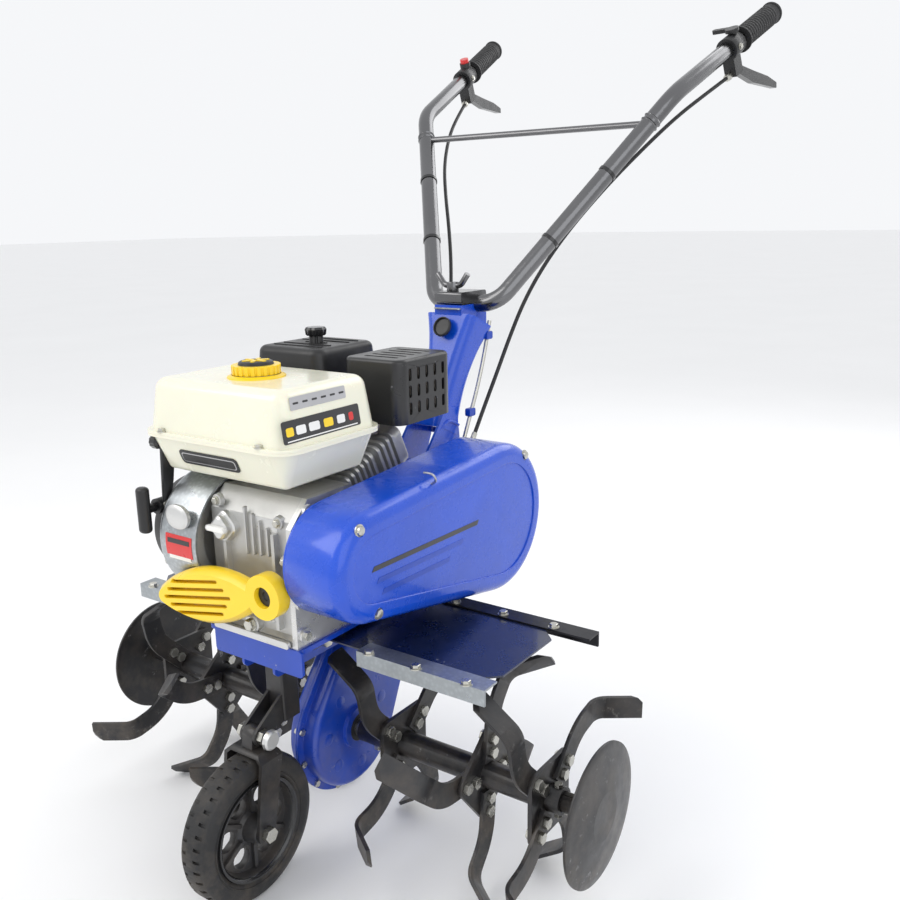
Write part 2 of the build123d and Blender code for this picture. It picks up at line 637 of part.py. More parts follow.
# ---------------------------------------------------------------- frame, fenders and front wheel
FRAME_FRONT = -150.0
FRAME_BACK = 12.0
FRAME_LEFT, FRAME_RIGHT = -88.0, 72.0
ENGINE_BOLTS = [(-62.0, -126.0), (-62.0, -48.0), (46.0, -126.0), (46.0, -48.0)]
SOCKET_DEPTH = 42.0
SOCKET_WALL = 4.0
RAIL_BACK = 204.0
HITCH = (188.0, 303.0)
HITCH_RADIUS = 6.2
with BuildPart() as engine_frame:
    with BuildSketch(top(PLATE_Z)):
        with Locations(((FRAME_LEFT + FRAME_RIGHT) / 2, (FRAME_FRONT + FRAME_BACK) / 2)):
            RectangleRounded(FRAME_RIGHT - FRAME_LEFT, FRAME_BACK - FRAME_FRONT, 10)
        with Locations(*ENGINE_BOLTS):
            Circle(4 + FIT, mode=Mode.SUBTRACT)
        with Locations((0, -70)):
            RectangleRounded(34, 60, 8, mode=Mode.SUBTRACT)
    extrude(amount=PLATE_THICK)
    for hand in (1, -1):
        with BuildSketch(side(hand * RAIL_X)):
            with Locations(((FRAME_FRONT + RAIL_BACK) / 2, PLATE_Z - RAIL_DEPTH / 2)):
                RectangleRounded(RAIL_BACK - FRAME_FRONT, RAIL_DEPTH, 8)
            with Locations(((FRAME_FRONT + FRAME_BACK) / 2, PLATE_Z - RAIL_DEPTH / 4)):
                Rectangle(FRAME_BACK - FRAME_FRONT, RAIL_DEPTH / 2)
            with Locations(*RAIL_BOLTS):
                Circle(RAIL_BOLT_RADIUS + FIT, mode=Mode.SUBTRACT)
            with Locations(HITCH):
                Circle(HITCH_RADIUS, mode=Mode.SUBTRACT)
        extrude(amount=hand * RAIL_THICK)
    with BuildSketch(top(PLATE_Z)):
        with Locations((0, POST_Y)):
            Rectangle(2 * RAIL_X, POST_SIDE + 2 * SOCKET_WALL)
            Rectangle(POST_SIDE + 2 * FIT, POST_SIDE + 2 * FIT, mode=Mode.SUBTRACT)
    extrude(amount=-SOCKET_DEPTH)
    with BuildSketch(front(FRAME_FRONT)):
        with Locations((0, PLATE_Z + PLATE_THICK - 17)):
            RectangleRounded(150, 34, 5)
    extrude(amount=-4)
    with BuildSketch(side(0)):
        with Locations((POST_Y, PLATE_Z - SOCKET_DEPTH + 14)):
            Circle(PIN_RADIUS + FIT)
    extrude(amount=RAIL_X + RAIL_THICK + 1, both=True, mode=Mode.SUBTRACT)
engine_frame.part.label = "engine_frame"
export_step(engine_frame.part, "parts/engine_frame.step")

YOKE_X = 13.0
YOKE_THICK = 4.0
POST_FOOT = 214.0
with BuildPart() as wheel_post:
    with BuildSketch(top(POST_FOOT)):
        with Locations((0, POST_Y)):
            RectangleRounded(POST_SIDE, POST_SIDE, 3)
    extrude(amount=PLATE_Z - 2 - POST_FOOT)
    with BuildSketch(top(POST_FOOT + 4)):
        with Locations((0, POST_Y)):
            RectangleRounded(POST_SIDE - 5, POST_SIDE - 5, 2)
    extrude(amount=PLATE_Z - POST_FOOT, mode=Mode.SUBTRACT)
    for hand in (1, -1):
        with BuildSketch(side(hand * (YOKE_X - YOKE_THICK))):
            add(
                taut_area(
                    (*FORK_PIVOT, 12),
                    (POST_Y - POST_SIDE / 2 + 3, POST_FOOT + 4, 3),
                    (POST_Y - POST_SIDE / 2 + 3, POST_FOOT + 36, 3),
                )
            )
            with Locations(FORK_PIVOT):
                Circle(PIN_RADIUS + RUN, mode=Mode.SUBTRACT)
        extrude(amount=hand * YOKE_THICK)
    with BuildSketch(side(0)):
        with Locations((POST_Y, PLATE_Z - SOCKET_DEPTH + 14)):
            Circle(PIN_RADIUS + FIT)
    extrude(amount=POST_SIDE, both=True, mode=Mode.SUBTRACT)
wheel_post.part.label = "wheel_post"
export_step(wheel_post.part, "parts/wheel_post.step")

LEG_X = WHEEL_WIDTH / 2 + 6
LEG_THICK = 5.0
BRIDGE_Z = WHEEL_RADIUS * 2 + 3
with BuildPart() as wheel_fork:
    with BuildSketch(front(WHEEL_Y + 34)):
        with BuildLine():
            Polyline(
                (-LEG_X - LEG_THICK, WHEEL_RADIUS - 14),
                (-LEG_X - LEG_THICK, BRIDGE_Z - 4),
                (-LEG_X + 5, BRIDGE_Z + LEG_THICK),
                (LEG_X - 5, BRIDGE_Z + LEG_THICK),
                (LEG_X + LEG_THICK, BRIDGE_Z - 4),
                (LEG_X + LEG_THICK, WHEEL_RADIUS - 14),
                (LEG_X, WHEEL_RADIUS - 14),
                (LEG_X, BRIDGE_Z - 6),
                (LEG_X - 6, BRIDGE_Z),
                (-LEG_X + 6, BRIDGE_Z),
                (-LEG_X, BRIDGE_Z - 6),
                (-LEG_X, WHEEL_RADIUS - 14),
                close=True,
            )
        make_face()
    extrude(amount=48)
    with BuildSketch(side(-LEG_X - LEG_THICK)):
        add(
            taut_area(
                (WHEEL_Y, WHEEL_RADIUS, 14),
                (FORK_PIVOT[0] - 14, BRIDGE_Z - 2, 7),
                (FORK_PIVOT[0] + 7, BRIDGE_Z - 2, 7),
            )
        )
    extrude(amount=2 * (LEG_X + LEG_THICK), mode=Mode.INTERSECT)
    with BuildSketch(side(-YOKE_X + YOKE_THICK + FIT)):
        add(
            taut_area(
                (*FORK_PIVOT, 12),
                (FORK_PIVOT[0] - 12, BRIDGE_Z + 3, 2),
                (FORK_PIVOT[0] + 10, BRIDGE_Z + 3, 2),
            )
        )
        with Locations(FORK_PIVOT):
            Circle(PIN_RADIUS, mode=Mode.SUBTRACT)
    extrude(amount=2 * (YOKE_X - YOKE_THICK - FIT))
    with BuildSketch(side(-50)):
        with Locations((WHEEL_Y, WHEEL_RADIUS)):
            Circle(PIN_RADIUS)
    extrude(amount=100, mode=Mode.SUBTRACT)
wheel_fork.part.label = "wheel_fork"
export_step(wheel_fork.part, "parts/wheel_fork.step")

HUB_HALF = LEG_X - GAP
with BuildPart() as wheel_rim:
    with BuildSketch(turning(WHEEL_Y, WHEEL_RADIUS)):
        Polygon(
            (-HUB_HALF, PIN_RADIUS + RUN),
            (HUB_HALF, PIN_RADIUS + RUN),
            (HUB_HALF, 15),
            (8, 19),
            (5, 24),
            (5, RIM_RADIUS - 9),
            (17, RIM_RADIUS - 6),
            (17, RIM_RADIUS),
            (-17, RIM_RADIUS),
            (-17, RIM_RADIUS - 6),
            (-5, RIM_RADIUS - 9),
            (-5, 24),
            (-8, 19),
            (-HUB_HALF, 15),
            align=None,
        )
    revolve(axis=shaft_line(WHEEL_Y, WHEEL_RADIUS))
    with BuildSketch(side(-HUB_HALF)):
        with Locations((WHEEL_Y, WHEEL_RADIUS)):
            with PolarLocations(40, 6):
                Circle(13)
    extrude(amount=2 * HUB_HALF, mode=Mode.SUBTRACT)
wheel_rim.part.label = "wheel_rim"
export_step(wheel_rim.part, "parts/wheel_rim.step")

TREADS = 40
with BuildPart() as wheel_tyre:
    half = WHEEL_WIDTH / 2
    with BuildSketch(turning(WHEEL_Y, WHEEL_RADIUS)):
        Polygon(
            (-17, RIM_RADIUS),
            (17, RIM_RADIUS),
            (half - 1, RIM_RADIUS + 6),
            (half, RIM_RADIUS + 14),
            (half - 4, WHEEL_RADIUS - 4),
            (half - 11, WHEEL_RADIUS),
            (-half + 11, WHEEL_RADIUS),
            (-half + 4, WHEEL_RADIUS - 4),
            (-half, RIM_RADIUS + 14),
            (-half + 1, RIM_RADIUS + 6),
            align=None,
        )
    revolve(axis=shaft_line(WHEEL_Y, WHEEL_RADIUS))
    for hand in (1, -1):
        with BuildSketch(side(hand * (half + 1))):
            with Locations((WHEEL_Y, WHEEL_RADIUS)):
                with PolarLocations(WHEEL_RADIUS, TREADS, start_angle=2 + 2 * hand):
                    Rectangle(6, 4)
        extrude(amount=-hand * 17, mode=Mode.SUBTRACT)
wheel_tyre.part.label = "wheel_tyre"
export_step(wheel_tyre.part, "parts/wheel_tyre.step")

with BuildPart() as wheel_pins:
    for (y, z), end in ((FORK_PIVOT, YOKE_X), ((WHEEL_Y, WHEEL_RADIUS), LEG_X + LEG_THICK)):
        with BuildSketch(side(-end - 1)):
            with Locations((y, z)):
                Circle(PIN_RADIUS)
        extrude(amount=2 * end + 2)
        for hand in (1, -1):
            with BuildSketch(side(hand * (end + FIT))):
                with Locations((y, z)):
                    RegularPolygon(10, 6)
            extrude(amount=hand * 8)
wheel_pins.part.label = "wheel_pins"
export_step(wheel_pins.part, "parts/wheel_pins.step")

for hand, name in ((1, "left"), (-1, "right")):
    with BuildPart() as fender:
        middle = (FENDER_IN + FENDER_OUT) / 2
        with BuildSketch(top(FENDER_Z)):
            with Locations((hand * middle, (FENDER_FRONT + FENDER_REAR) / 2)):
                Rectangle(FENDER_OUT - FENDER_IN, FENDER_REAR - FENDER_FRONT)
            with Locations((hand * FENDER_OUT, FENDER_FRONT), (hand * FENDER_OUT, FENDER_REAR)):
                Rectangle(50, 50, rotation=45, mode=Mode.SUBTRACT)
        extrude(amount=FENDER_THICK)
        with BuildSketch(side(hand * FENDER_IN)):
            with Locations(((FENDER_FRONT + FENDER_REAR) / 2, FENDER_Z - 10)):
                Rectangle(FENDER_REAR - FENDER_FRONT, 20)
            with Locations(*RAIL_BOLTS):
                Circle(RAIL_BOLT_RADIUS + FIT, mode=Mode.SUBTRACT)
        extrude(amount=hand * FENDER_THICK)
    fender.part.label = f"fender_{name}"
    export_step(fender.part, f"parts/fender_{name}.step")

STRIP_IN = 112.0
with BuildPart() as fender_strips:
    for hand in (1, -1):
        for edge, way, outer in (
            (FENDER_FRONT, -1, FENDER_OUT + 4),
            (FENDER_REAR, 1, FENDER_OUT + 42),
        ):
            with BuildSketch(top(FENDER_Z + FENDER_THICK)):
                with Locations((hand * (STRIP_IN + outer) / 2, edge + way * (STRIP_WIDTH / 2 - 12))):
                    Rectangle(outer - STRIP_IN, STRIP_WIDTH + 8)
            extrude(amount=2.5)
            with BuildSketch(side(hand * STRIP_IN)):
                with Locations((edge + way * (STRIP_WIDTH - 9.5), FENDER_Z - 5)):
                    Rectangle(3, 20)
            extrude(amount=hand * (outer - STRIP_IN))
fender_strips.part.label = "fender_strips"
export_step(fender_strips.part, "parts/fender_strips.step")

# ---------------------------------------------------------------- engine
TILT_Y, TILT_Z = cos(radians(CYL_TILT)), sin(radians(CYL_TILT))


def cylinder_plane(along):
    """Plane square to the cylinder, at a distance from the crankshaft. Its own x is across."""
    origin = at(0, CRANK_Y + along * TILT_Y, CRANK_Z + along * TILT_Z)
    return Plane(origin=origin, x_dir=(1, 0, 0), z_dir=(0, TILT_Y, TILT_Z))


CASE_IN, CASE_OUT = -72.0, 60.0
CASTING_FRONT, CASTING_BACK = -148.0, -24.0
CASTING_TOP = 514.0
CRANK_ROOM = 49.0
HEAD_START, HEAD_END, ROCKER_END = 150.0, 194.0, 218.0
GUARD_TILT = 11.0
GUARD_MID = (-46.0, 390.0)
GUARD_EYE = (55.0, 412.0)
GUARD_STUDS = [(-43.5, 390.0), (38.5, 406.0)]
GUARD_GAP = 27.0
with BuildPart() as crankcase:
    with BuildSketch(side(CASE_IN)):
        with BuildLine():
            Polyline(
                (CASTING_FRONT, BASE_Z),
                (CASTING_BACK + 8, BASE_Z),
                (CASTING_BACK, BASE_Z + 30),
                (CASTING_BACK, CASTING_TOP - 36),
                (CASTING_BACK - 16, CASTING_TOP),
                (CASTING_FRONT + 30, CASTING_TOP),
                (CASTING_FRONT + 6, CASTING_TOP - 24),
                (CASTING_FRONT + 6, BASE_Z + 14),
                (CASTING_FRONT, BASE_Z + 10),
                close=True,
            )
        make_face()
    extrude(amount=CASE_OUT - CASE_IN)
    with BuildSketch(cylinder_plane(60)):
        with Locations((-3, 0)):
            RectangleRounded(84, 68, 12)
    extrude(amount=HEAD_START - 60)
    for step in range(6):
        with BuildSketch(cylinder_plane(88 + 10 * step)):
            with Locations((-3, -3)):
                RectangleRounded(104, 74, 8)
        extrude(amount=4)
    with BuildSketch(top(BASE_Z + 12)):
        with Locations(*ENGINE_BOLTS):
            Circle(13)
    extrude(amount=24, mode=Mode.SUBTRACT)
    with BuildSketch(top(BASE_Z)):
        with Locations(*ENGINE_BOLTS):
            Circle(4 + FIT)
    extrude(amount=13, mode=Mode.SUBTRACT)
    with BuildSketch(side(CASE_IN)):
        with Locations((CRANK_Y, CRANK_Z)):
            Circle(CRANK_RADIUS + RUN)
    extrude(amount=CASE_OUT - CASE_IN, mode=Mode.SUBTRACT)
    with BuildSketch(side(CASE_IN + 10)):
        with Locations((CRANK_Y, CRANK_Z)):
            Circle(CRANK_ROOM)
    extrude(amount=CASE_OUT - CASE_IN, mode=Mode.SUBTRACT)
    with BuildSketch(cylinder_plane(40)):
        Circle(34 - 6)
    extrude(amount=HEAD_START - 40, mode=Mode.SUBTRACT)
    for x in (CASE_IN + 26, CASE_OUT - 24):
        with BuildSketch(side(x)):
            with Locations((CASTING_FRONT + 3, BASE_Z + 80)):
                Rectangle(10, 120)
        extrude(amount=5)
    with BuildSketch(front(CASTING_FRONT + 6)):
        with Locations(*GUARD_STUDS):
            Circle(4)
    extrude(amount=GUARD_GAP)
crankcase.part.label = "crankcase"
export_step(crankcase.part, "parts/crankcase.step")

SIDE_BOLTS = [
    (CASTING_FRONT + 12, BASE_Z + 16),
    (CASTING_BACK - 12, BASE_Z + 16),
    (CASTING_FRONT + 9, BASE_Z + 58),
    (CASTING_BACK - 9, BASE_Z + 62),
    (CASTING_FRONT + 28, CASTING_TOP - 15),
    (CASTING_BACK - 32, CASTING_TOP - 14),
]
with BuildPart() as crankcase_cover:
    with BuildSketch(side(CASE_OUT)):
        with BuildLine():
            Polyline(
                (CASTING_FRONT, BASE_Z),
                (CASTING_BACK + 4, BASE_Z),
                (CASTING_BACK + 4, CASTING_TOP - 36),
                (CASTING_BACK - 16, CASTING_TOP),
                (CASTING_FRONT + 30, CASTING_TOP),
                (CASTING_FRONT, CASTING_TOP - 30),
                close=True,
            )
        make_face()
    extrude(amount=8)
    with BuildSketch(side(CASE_OUT + 8)):
        with Locations((CRANK_Y, CRANK_Z)):
            Circle(50)
    extrude(amount=7, taper=30)
    with BuildSketch(side(CASE_OUT + 8)):
        with Locations((CRANK_Y, CRANK_Z)):
            Circle(30)
    extrude(amount=GUARD_X - CASE_OUT - 8)
    with BuildSketch(side(CASE_OUT + 8)):
        with Locations((CRANK_Y, CRANK_Z)):
            with PolarLocations(50, 8, start_angle=20):
                Rectangle(16, 4)
    extrude(amount=5)
    with BuildSketch(side(CASE_OUT + 8)):
        with Locations(*SIDE_BOLTS):
            Circle(9)
    extrude(amount=4)
    with BuildSketch(side(CASE_OUT)):
        with Locations((CRANK_Y, CRANK_Z)):
            Circle(CRANK_RADIUS + RUN)
    extrude(amount=GUARD_X, mode=Mode.SUBTRACT)
    with BuildSketch(side(CASE_OUT)):
        with Locations(*SIDE_BOLTS):
            Circle(3 + FIT)
    extrude(amount=13, mode=Mode.SUBTRACT)
crankcase_cover.part.label = "crankcase_cover"
export_step(crankcase_cover.part, "parts/crankcase_cover.step")

with BuildPart() as cylinder_head:
    for step in range(4):
        with BuildSketch(cylinder_plane(HEAD_START + 2 + 11 * step)):
            with Locations((-3, -2)):
                RectangleRounded(106, 76, 8)
        extrude(amount=5)
    with BuildSketch(cylinder_plane(HEAD_START)):
        with Locations((-3, 0)):
            RectangleRounded(86, 66, 10)
    extrude(amount=HEAD_END - HEAD_START)
    with BuildSketch(cylinder_plane(HEAD_END)):
        with Locations((-3, 0)):
            RectangleRounded(84, 60, 12)
    extrude(amount=ROCKER_END - HEAD_END)
    rocker_line = Axis(at(0, CRANK_Y, CRANK_Z), (0, TILT_Y, TILT_Z))
    fillet(cylinder_head.faces().sort_by(rocker_line)[-1].edges(), radius=6)
    with BuildSketch(cylinder_plane(HEAD_START)):
        Circle(28)
    extrude(amount=12, mode=Mode.SUBTRACT)
cylinder_head.part.label = "cylinder_head"
export_step(cylinder_head.part, "parts/cylinder_head.step")

FLYWHEEL_IN, FLYWHEEL_OUT = -80.0, -132.0
with BuildPart() as crankshaft:
    with BuildSketch(turning(CRANK_Y, CRANK_Z)):
        Polygon(*ring_profile(FLYWHEEL_OUT - 6, INPUT_END, 0, CRANK_RADIUS), align=None)
    revolve(axis=shaft_line(CRANK_Y, CRANK_Z))
    for x in (-34.0, 10.0):
        with BuildSketch(side(x)):
            add(taut_area((CRANK_Y, CRANK_Z, 18), (CRANK_Y, CRANK_Z + 27, 15)))
            with Locations((CRANK_Y, CRANK_Z - 14)):
                Circle(32)
        extrude(amount=16)
    with BuildSketch(side(-18)):
        with Locations((CRANK_Y, CRANK_Z + 27)):
            Circle(13)
    extrude(amount=28)
    with BuildSketch(side(-17)):
        with Locations((CRANK_Y, CRANK_Z)):
            Circle(CRANK_RADIUS + 1)
    extrude(amount=26, mode=Mode.SUBTRACT)
crankshaft.part.label = "crankshaft"
export_step(crankshaft.part, "parts/crankshaft.step")

with BuildPart() as flywheel:
    with BuildSketch(turning(CRANK_Y, CRANK_Z)):
        Polygon(
            (FLYWHEEL_IN, CRANK_RADIUS),
            (FLYWHEEL_IN, 20),
            (FLYWHEEL_IN - 14, 24),
            (FLYWHEEL_IN - 14, 56),
            (FLYWHEEL_IN - 4, 60),
            (FLYWHEEL_IN - 4, 72),
            (FLYWHEEL_IN - 24, 72),
            (FLYWHEEL_IN - 24, CRANK_RADIUS),
            align=None,
        )
    revolve(axis=shaft_line(CRANK_Y, CRANK_Z))
    with BuildSketch(side(FLYWHEEL_IN - 22)):
        with Locations((CRANK_Y, CRANK_Z)):
            with PolarLocations(56, 14):
                Rectangle(26, 3, rotation=25)
    extrude(amount=-24)
flywheel.part.label = "flywheel"
export_step(flywheel.part, "parts/flywheel.step")

SHROUD_IN, SHROUD_OUT, SHROUD_RADIUS = -73.0, -146.0, 83.0
with BuildPart() as blower_housing:
    with BuildSketch(side(SHROUD_IN)):
        add(taut_area((CRANK_Y, CRANK_Z, SHROUD_RADIUS), (CRANK_Y + 104, CRANK_Z + 34, 38)))
    extrude(amount=SHROUD_OUT - SHROUD_IN)
    fillet(blower_housing.faces().sort_by(Axis.X)[0].edges(), radius=10)
    with BuildSketch(side(SHROUD_IN)):
        add(taut_area((CRANK_Y, CRANK_Z, SHROUD_RADIUS - 3), (CRANK_Y + 104, CRANK_Z + 34, 35)))
    extrude(amount=SHROUD_OUT - SHROUD_IN + 11, mode=Mode.SUBTRACT)
    with BuildSketch(side(SHROUD_OUT)):
        with Locations((CRANK_Y, CRANK_Z)):
            Circle(60)
    extrude(amount=20, mode=Mode.SUBTRACT)
blower_housing.part.label = "blower_housing"
export_step(blower_housing.part, "parts/blower_housing.step")

STARTER_OUT = -178.0
ROPE_EXIT = (-162.0, -158.0, 478.0)
with BuildPart() as starter_cover:
    with BuildSketch(side(SHROUD_OUT)):
        with Locations((CRANK_Y, CRANK_Z)):
            Circle(68)
    extrude(amount=STARTER_OUT - SHROUD_OUT, taper=8)
    fillet(starter_cover.faces().sort_by(Axis.X)[0].edges(), radius=6)
    with BuildSketch(side(SHROUD_OUT)):
        with Locations((CRANK_Y, CRANK_Z)):
            Circle(59)
    extrude(amount=STARTER_OUT - SHROUD_OUT + 4, taper=8, mode=Mode.SUBTRACT)
    with BuildSketch(side(STARTER_OUT + 5)):
        with Locations((CRANK_Y, CRANK_Z)):
            with PolarLocations(38, 12):
                SlotOverall(26, 6)
    extrude(amount=-6, mode=Mode.SUBTRACT)
    with BuildSketch(front(ROPE_EXIT[1] + 32)):
        with Locations((ROPE_EXIT[0], ROPE_EXIT[2])):
            Circle(10)
    extrude(amount=30)
    with BuildSketch(front(ROPE_EXIT[1] + 44)):
        with Locations((ROPE_EXIT[0], ROPE_EXIT[2])):
            Circle(4)
    extrude(amount=46, mode=Mode.SUBTRACT)
starter_cover.part.label = "starter_cover"
export_step(starter_cover.part, "parts/starter_cover.step")

with BuildPart() as starter_grip:
    grip_x, grip_y, grip_z = ROPE_EXIT
    with BuildSketch(front(grip_y)):
        with Locations((grip_x, grip_z)):
            Circle(6)
    extrude(amount=12)
    with BuildSketch(top(grip_z - 30)):
        with Locations((grip_x, grip_y - 16)):
            Ellipse(9, 8)
    extrude(amount=60)
    fillet(starter_grip.faces().filter_by(GeomType.PLANE).sort_by(Axis.Z)[-1].edges(), radius=5)
    fillet(starter_grip.faces().filter_by(GeomType.PLANE).sort_by(Axis.Z)[0].edges(), radius=5)
    with BuildSketch(front(grip_y + 24)):
        with Locations((grip_x, grip_z)):
            Circle(2.5)
    extrude(amount=24)
starter_grip.part.label = "starter_grip"
export_step(starter_grip.part, "parts/starter_grip.step")

TANK_MID_X = (TANK_LEFT + TANK_RIGHT) / 2
TANK_MID_Y = (TANK_FRONT + TANK_BACK) / 2
TANK_WIDE = TANK_RIGHT - TANK_LEFT
TANK_LONG = TANK_BACK - TANK_FRONT
FILLER = (-40.0, -82.0)
FILLER_RADIUS = 21.0
LIP = 5.0
with BuildPart() as tank_upper:
    with BuildSketch(top(SEAM_Z)):
        with Locations((TANK_MID_X, TANK_MID_Y)):
            RectangleRounded(TANK_WIDE, TANK_LONG, 28)
    extrude(amount=4)
    with BuildSketch(top(SEAM_Z + 4)):
        with Locations((TANK_MID_X, TANK_MID_Y)):
            RectangleRounded(TANK_WIDE - 2 * LIP, TANK_LONG - 2 * LIP, 26)
    extrude(amount=TANK_TOP - SEAM_Z - 4, taper=9)
    fillet(tank_upper.faces().sort_by(Axis.Z)[-1].edges(), radius=16)
    with BuildSketch(top(SEAM_Z)):
        with Locations((TANK_MID_X, TANK_MID_Y)):
            inset = 2 * (LIP + TANK_WALL + 1)
            RectangleRounded(TANK_WIDE - inset, TANK_LONG - inset, 22)
    extrude(amount=TANK_TOP - SEAM_Z - 16, taper=9, mode=Mode.SUBTRACT)
    with BuildSketch(top(SEAM_Z + 40)):
        with Locations((TANK_MID_X, TANK_MID_Y)):
            inset = 2 * (LIP + TANK_WALL + 20)
            RectangleRounded(TANK_WIDE - inset, TANK_LONG - inset, 16)
    extrude(amount=TANK_TOP - SEAM_Z - 40 - TANK_WALL, mode=Mode.SUBTRACT)
    with BuildSketch(top(TANK_TOP - 4)):
        with Locations(FILLER):
            Circle(FILLER_RADIUS + 3)
    extrude(amount=8)
    with BuildSketch(top(SEAM_Z + 20)):
        with Locations(FILLER):
            Circle(FILLER_RADIUS)
    extrude(amount=TANK_TOP - SEAM_Z, mode=Mode.SUBTRACT)
tank_upper.part.label = "tank_upper"
export_step(tank_upper.part, "parts/tank_upper.step")

with BuildPart() as tank_lower:
    with BuildSketch(top(SEAM_Z)):
        with Locations((TANK_MID_X, TANK_MID_Y)):
            RectangleRounded(TANK_WIDE, TANK_LONG, 28)
    extrude(amount=-3)
    with BuildSketch(top(SEAM_Z - 3)):
        with Locations((TANK_MID_X, TANK_MID_Y)):
            RectangleRounded(TANK_WIDE - 2 * LIP, TANK_LONG - 2 * LIP, 26)
    extrude(amount=TANK_BOTTOM - SEAM_Z + 3, taper=22)
    fillet(tank_lower.faces().sort_by(Axis.Z)[0].edges(), radius=8)
    with BuildSketch(top(SEAM_Z)):
        with Locations((TANK_MID_X, TANK_MID_Y)):
            inset = 2 * (LIP + TANK_WALL + 1)
            RectangleRounded(TANK_WIDE - inset, TANK_LONG - inset, 22)
    extrude(amount=-(SEAM_Z - TANK_BOTTOM - TANK_WALL), taper=22, mode=Mode.SUBTRACT)
tank_lower.part.label = "tank_lower"
export_step(tank_lower.part, "parts/tank_lower.step")

CAP_RADIUS = 30.0
with BuildPart() as fuel_cap:
    with BuildSketch(top(TANK_TOP + 4 + FIT)):
        with Locations(FILLER):
            Circle(CAP_RADIUS)
            with PolarLocations(CAP_RADIUS, 24):
                Circle(1.6, mode=Mode.SUBTRACT)
    extrude(amount=11)
    fillet(fuel_cap.faces().sort_by(Axis.Z)[-1].edges(), radius=0.6)
    with BuildSketch(top(TANK_TOP + 15 + FIT)):
        with Locations(FILLER):
            Circle(CAP_RADIUS * 0.62)
    extrude(amount=3)
    with BuildSketch(top(TANK_TOP + 4 + FIT)):
        with Locations(FILLER):
            Circle(FILLER_RADIUS - 0.3)
            Circle(FILLER_RADIUS - 3, mode=Mode.SUBTRACT)
    extrude(amount=-14)
fuel_cap.part.label = "fuel_cap"
export_step(fuel_cap.part, "parts/fuel_cap.step")

AIR_X, AIR_Y, AIR_Z = -104.0, 96.0, 588.0
AIR_SIZE = (128.0, 134.0, 74.0)
with BuildPart() as air_cleaner:
    with BuildSketch(top(AIR_Z)):
        with Locations((AIR_X, AIR_Y)):
            RectangleRounded(AIR_SIZE[0] - 8, AIR_SIZE[1] - 8, 18)
    extrude(amount=22)
    with BuildSketch(top(AIR_Z + 22 + FIT)):
        with Locations((AIR_X, AIR_Y)):
            RectangleRounded(AIR_SIZE[0], AIR_SIZE[1], 22)
    extrude(amount=AIR_SIZE[2] - 22, taper=6)
    fillet(air_cleaner.faces().sort_by(Axis.Z)[-1].edges(), radius=10)
    with BuildSketch(top(AIR_Z + 22 + FIT)):
        with Locations((AIR_X, AIR_Y)):
            RectangleRounded(AIR_SIZE[0] - 16, AIR_SIZE[1] - 16, 16)
    extrude(amount=AIR_SIZE[2] - 34, mode=Mode.SUBTRACT)
    with BuildSketch(top(AIR_Z + 4)):
        with Locations((AIR_X, AIR_Y)):
            RectangleRounded(AIR_SIZE[0] - 24, AIR_SIZE[1] - 24, 12)
    extrude(amount=18, mode=Mode.SUBTRACT)
    with BuildSketch(top(AIR_Z + AIR_SIZE[2])):
        with Locations((AIR_X, AIR_Y)):
            Circle(10)
            with PolarLocations(10, 8):
                Circle(2, mode=Mode.SUBTRACT)
    extrude(amount=10)
air_cleaner.part.label = "air_cleaner"
export_step(air_cleaner.part, "parts/air_cleaner.step")

CARB_X, CARB_Y, CARB_Z = -98.0, 62.0, 535.0
with BuildPart() as carburettor:
    with BuildSketch(top(CARB_Z - 22)):
        with Locations((CARB_X, CARB_Y)):
            Circle(19)
    extrude(amount=20)
    with BuildSketch(top(CARB_Z - 2)):
        with Locations((CARB_X, CARB_Y)):
            RectangleRounded(46, 44, 6)
    extrude(amount=30)
    with BuildSketch(top(CARB_Z + 28)):
        with Locations((CARB_X, CARB_Y)):
            Circle(18)
    extrude(amount=AIR_Z - CARB_Z - 28)
    with BuildSketch(side(CARB_X + 22)):
        with Locations((CARB_Y, CARB_Z + 6)):
            Circle(13)
    extrude(amount=-62.5 - CARB_X - 22 + 6)
carburettor.part.label = "carburettor"
export_step(carburettor.part, "parts/carburettor.step")

CHOKE_AT = (CARB_Y, CARB_Z + 14)
with BuildPart() as choke_lever:
    lever_x = CARB_X - 23 - FIT
    with BuildSketch(side(lever_x)):
        add(taut_area((*CHOKE_AT, 6), (CHOKE_AT[0] - 38, CHOKE_AT[1] + 6, 4)))
    extrude(amount=-3)
    with BuildSketch(side(lever_x - 3)):
        with Locations((CHOKE_AT[0] - 38, CHOKE_AT[1] + 6)):
            Circle(4)
    extrude(amount=-10)
choke_lever.part.label = "choke_lever"
export_step(choke_lever.part, "parts/choke_lever.step")

MUFFLER_X, MUFFLER_Y, MUFFLER_Z = 40.0, 96.0, 570.0
MUFFLER_SIZE = (96.0, 116.0, 86.0)
with BuildPart() as muffler:
    with BuildSketch(top(MUFFLER_Z)):
        with Locations((MUFFLER_X, MUFFLER_Y)):
            RectangleRounded(MUFFLER_SIZE[0] - 14, MUFFLER_SIZE[1] - 14, 14)
            RectangleRounded(MUFFLER_SIZE[0] - 20, MUFFLER_SIZE[1] - 20, 11, mode=Mode.SUBTRACT)
    extrude(amount=MUFFLER_SIZE[2] - 10)
    for z in (MUFFLER_Z, MUFFLER_Z + MUFFLER_SIZE[2] - 13):
        with BuildSketch(top(z)):
            with Locations((MUFFLER_X, MUFFLER_Y)):
                RectangleRounded(MUFFLER_SIZE[0] - 14, MUFFLER_SIZE[1] - 14, 14)
        extrude(amount=3)
    with BuildSketch(top(MUFFLER_Z)):
        with Locations((MUFFLER_X - 16, MUFFLER_Y - 40)):
            Circle(11)
    extrude(amount=-16)
    add(cylinder_head.part, mode=Mode.SUBTRACT)
muffler.part.label = "muffler"
export_step(muffler.part, "parts/muffler.step")

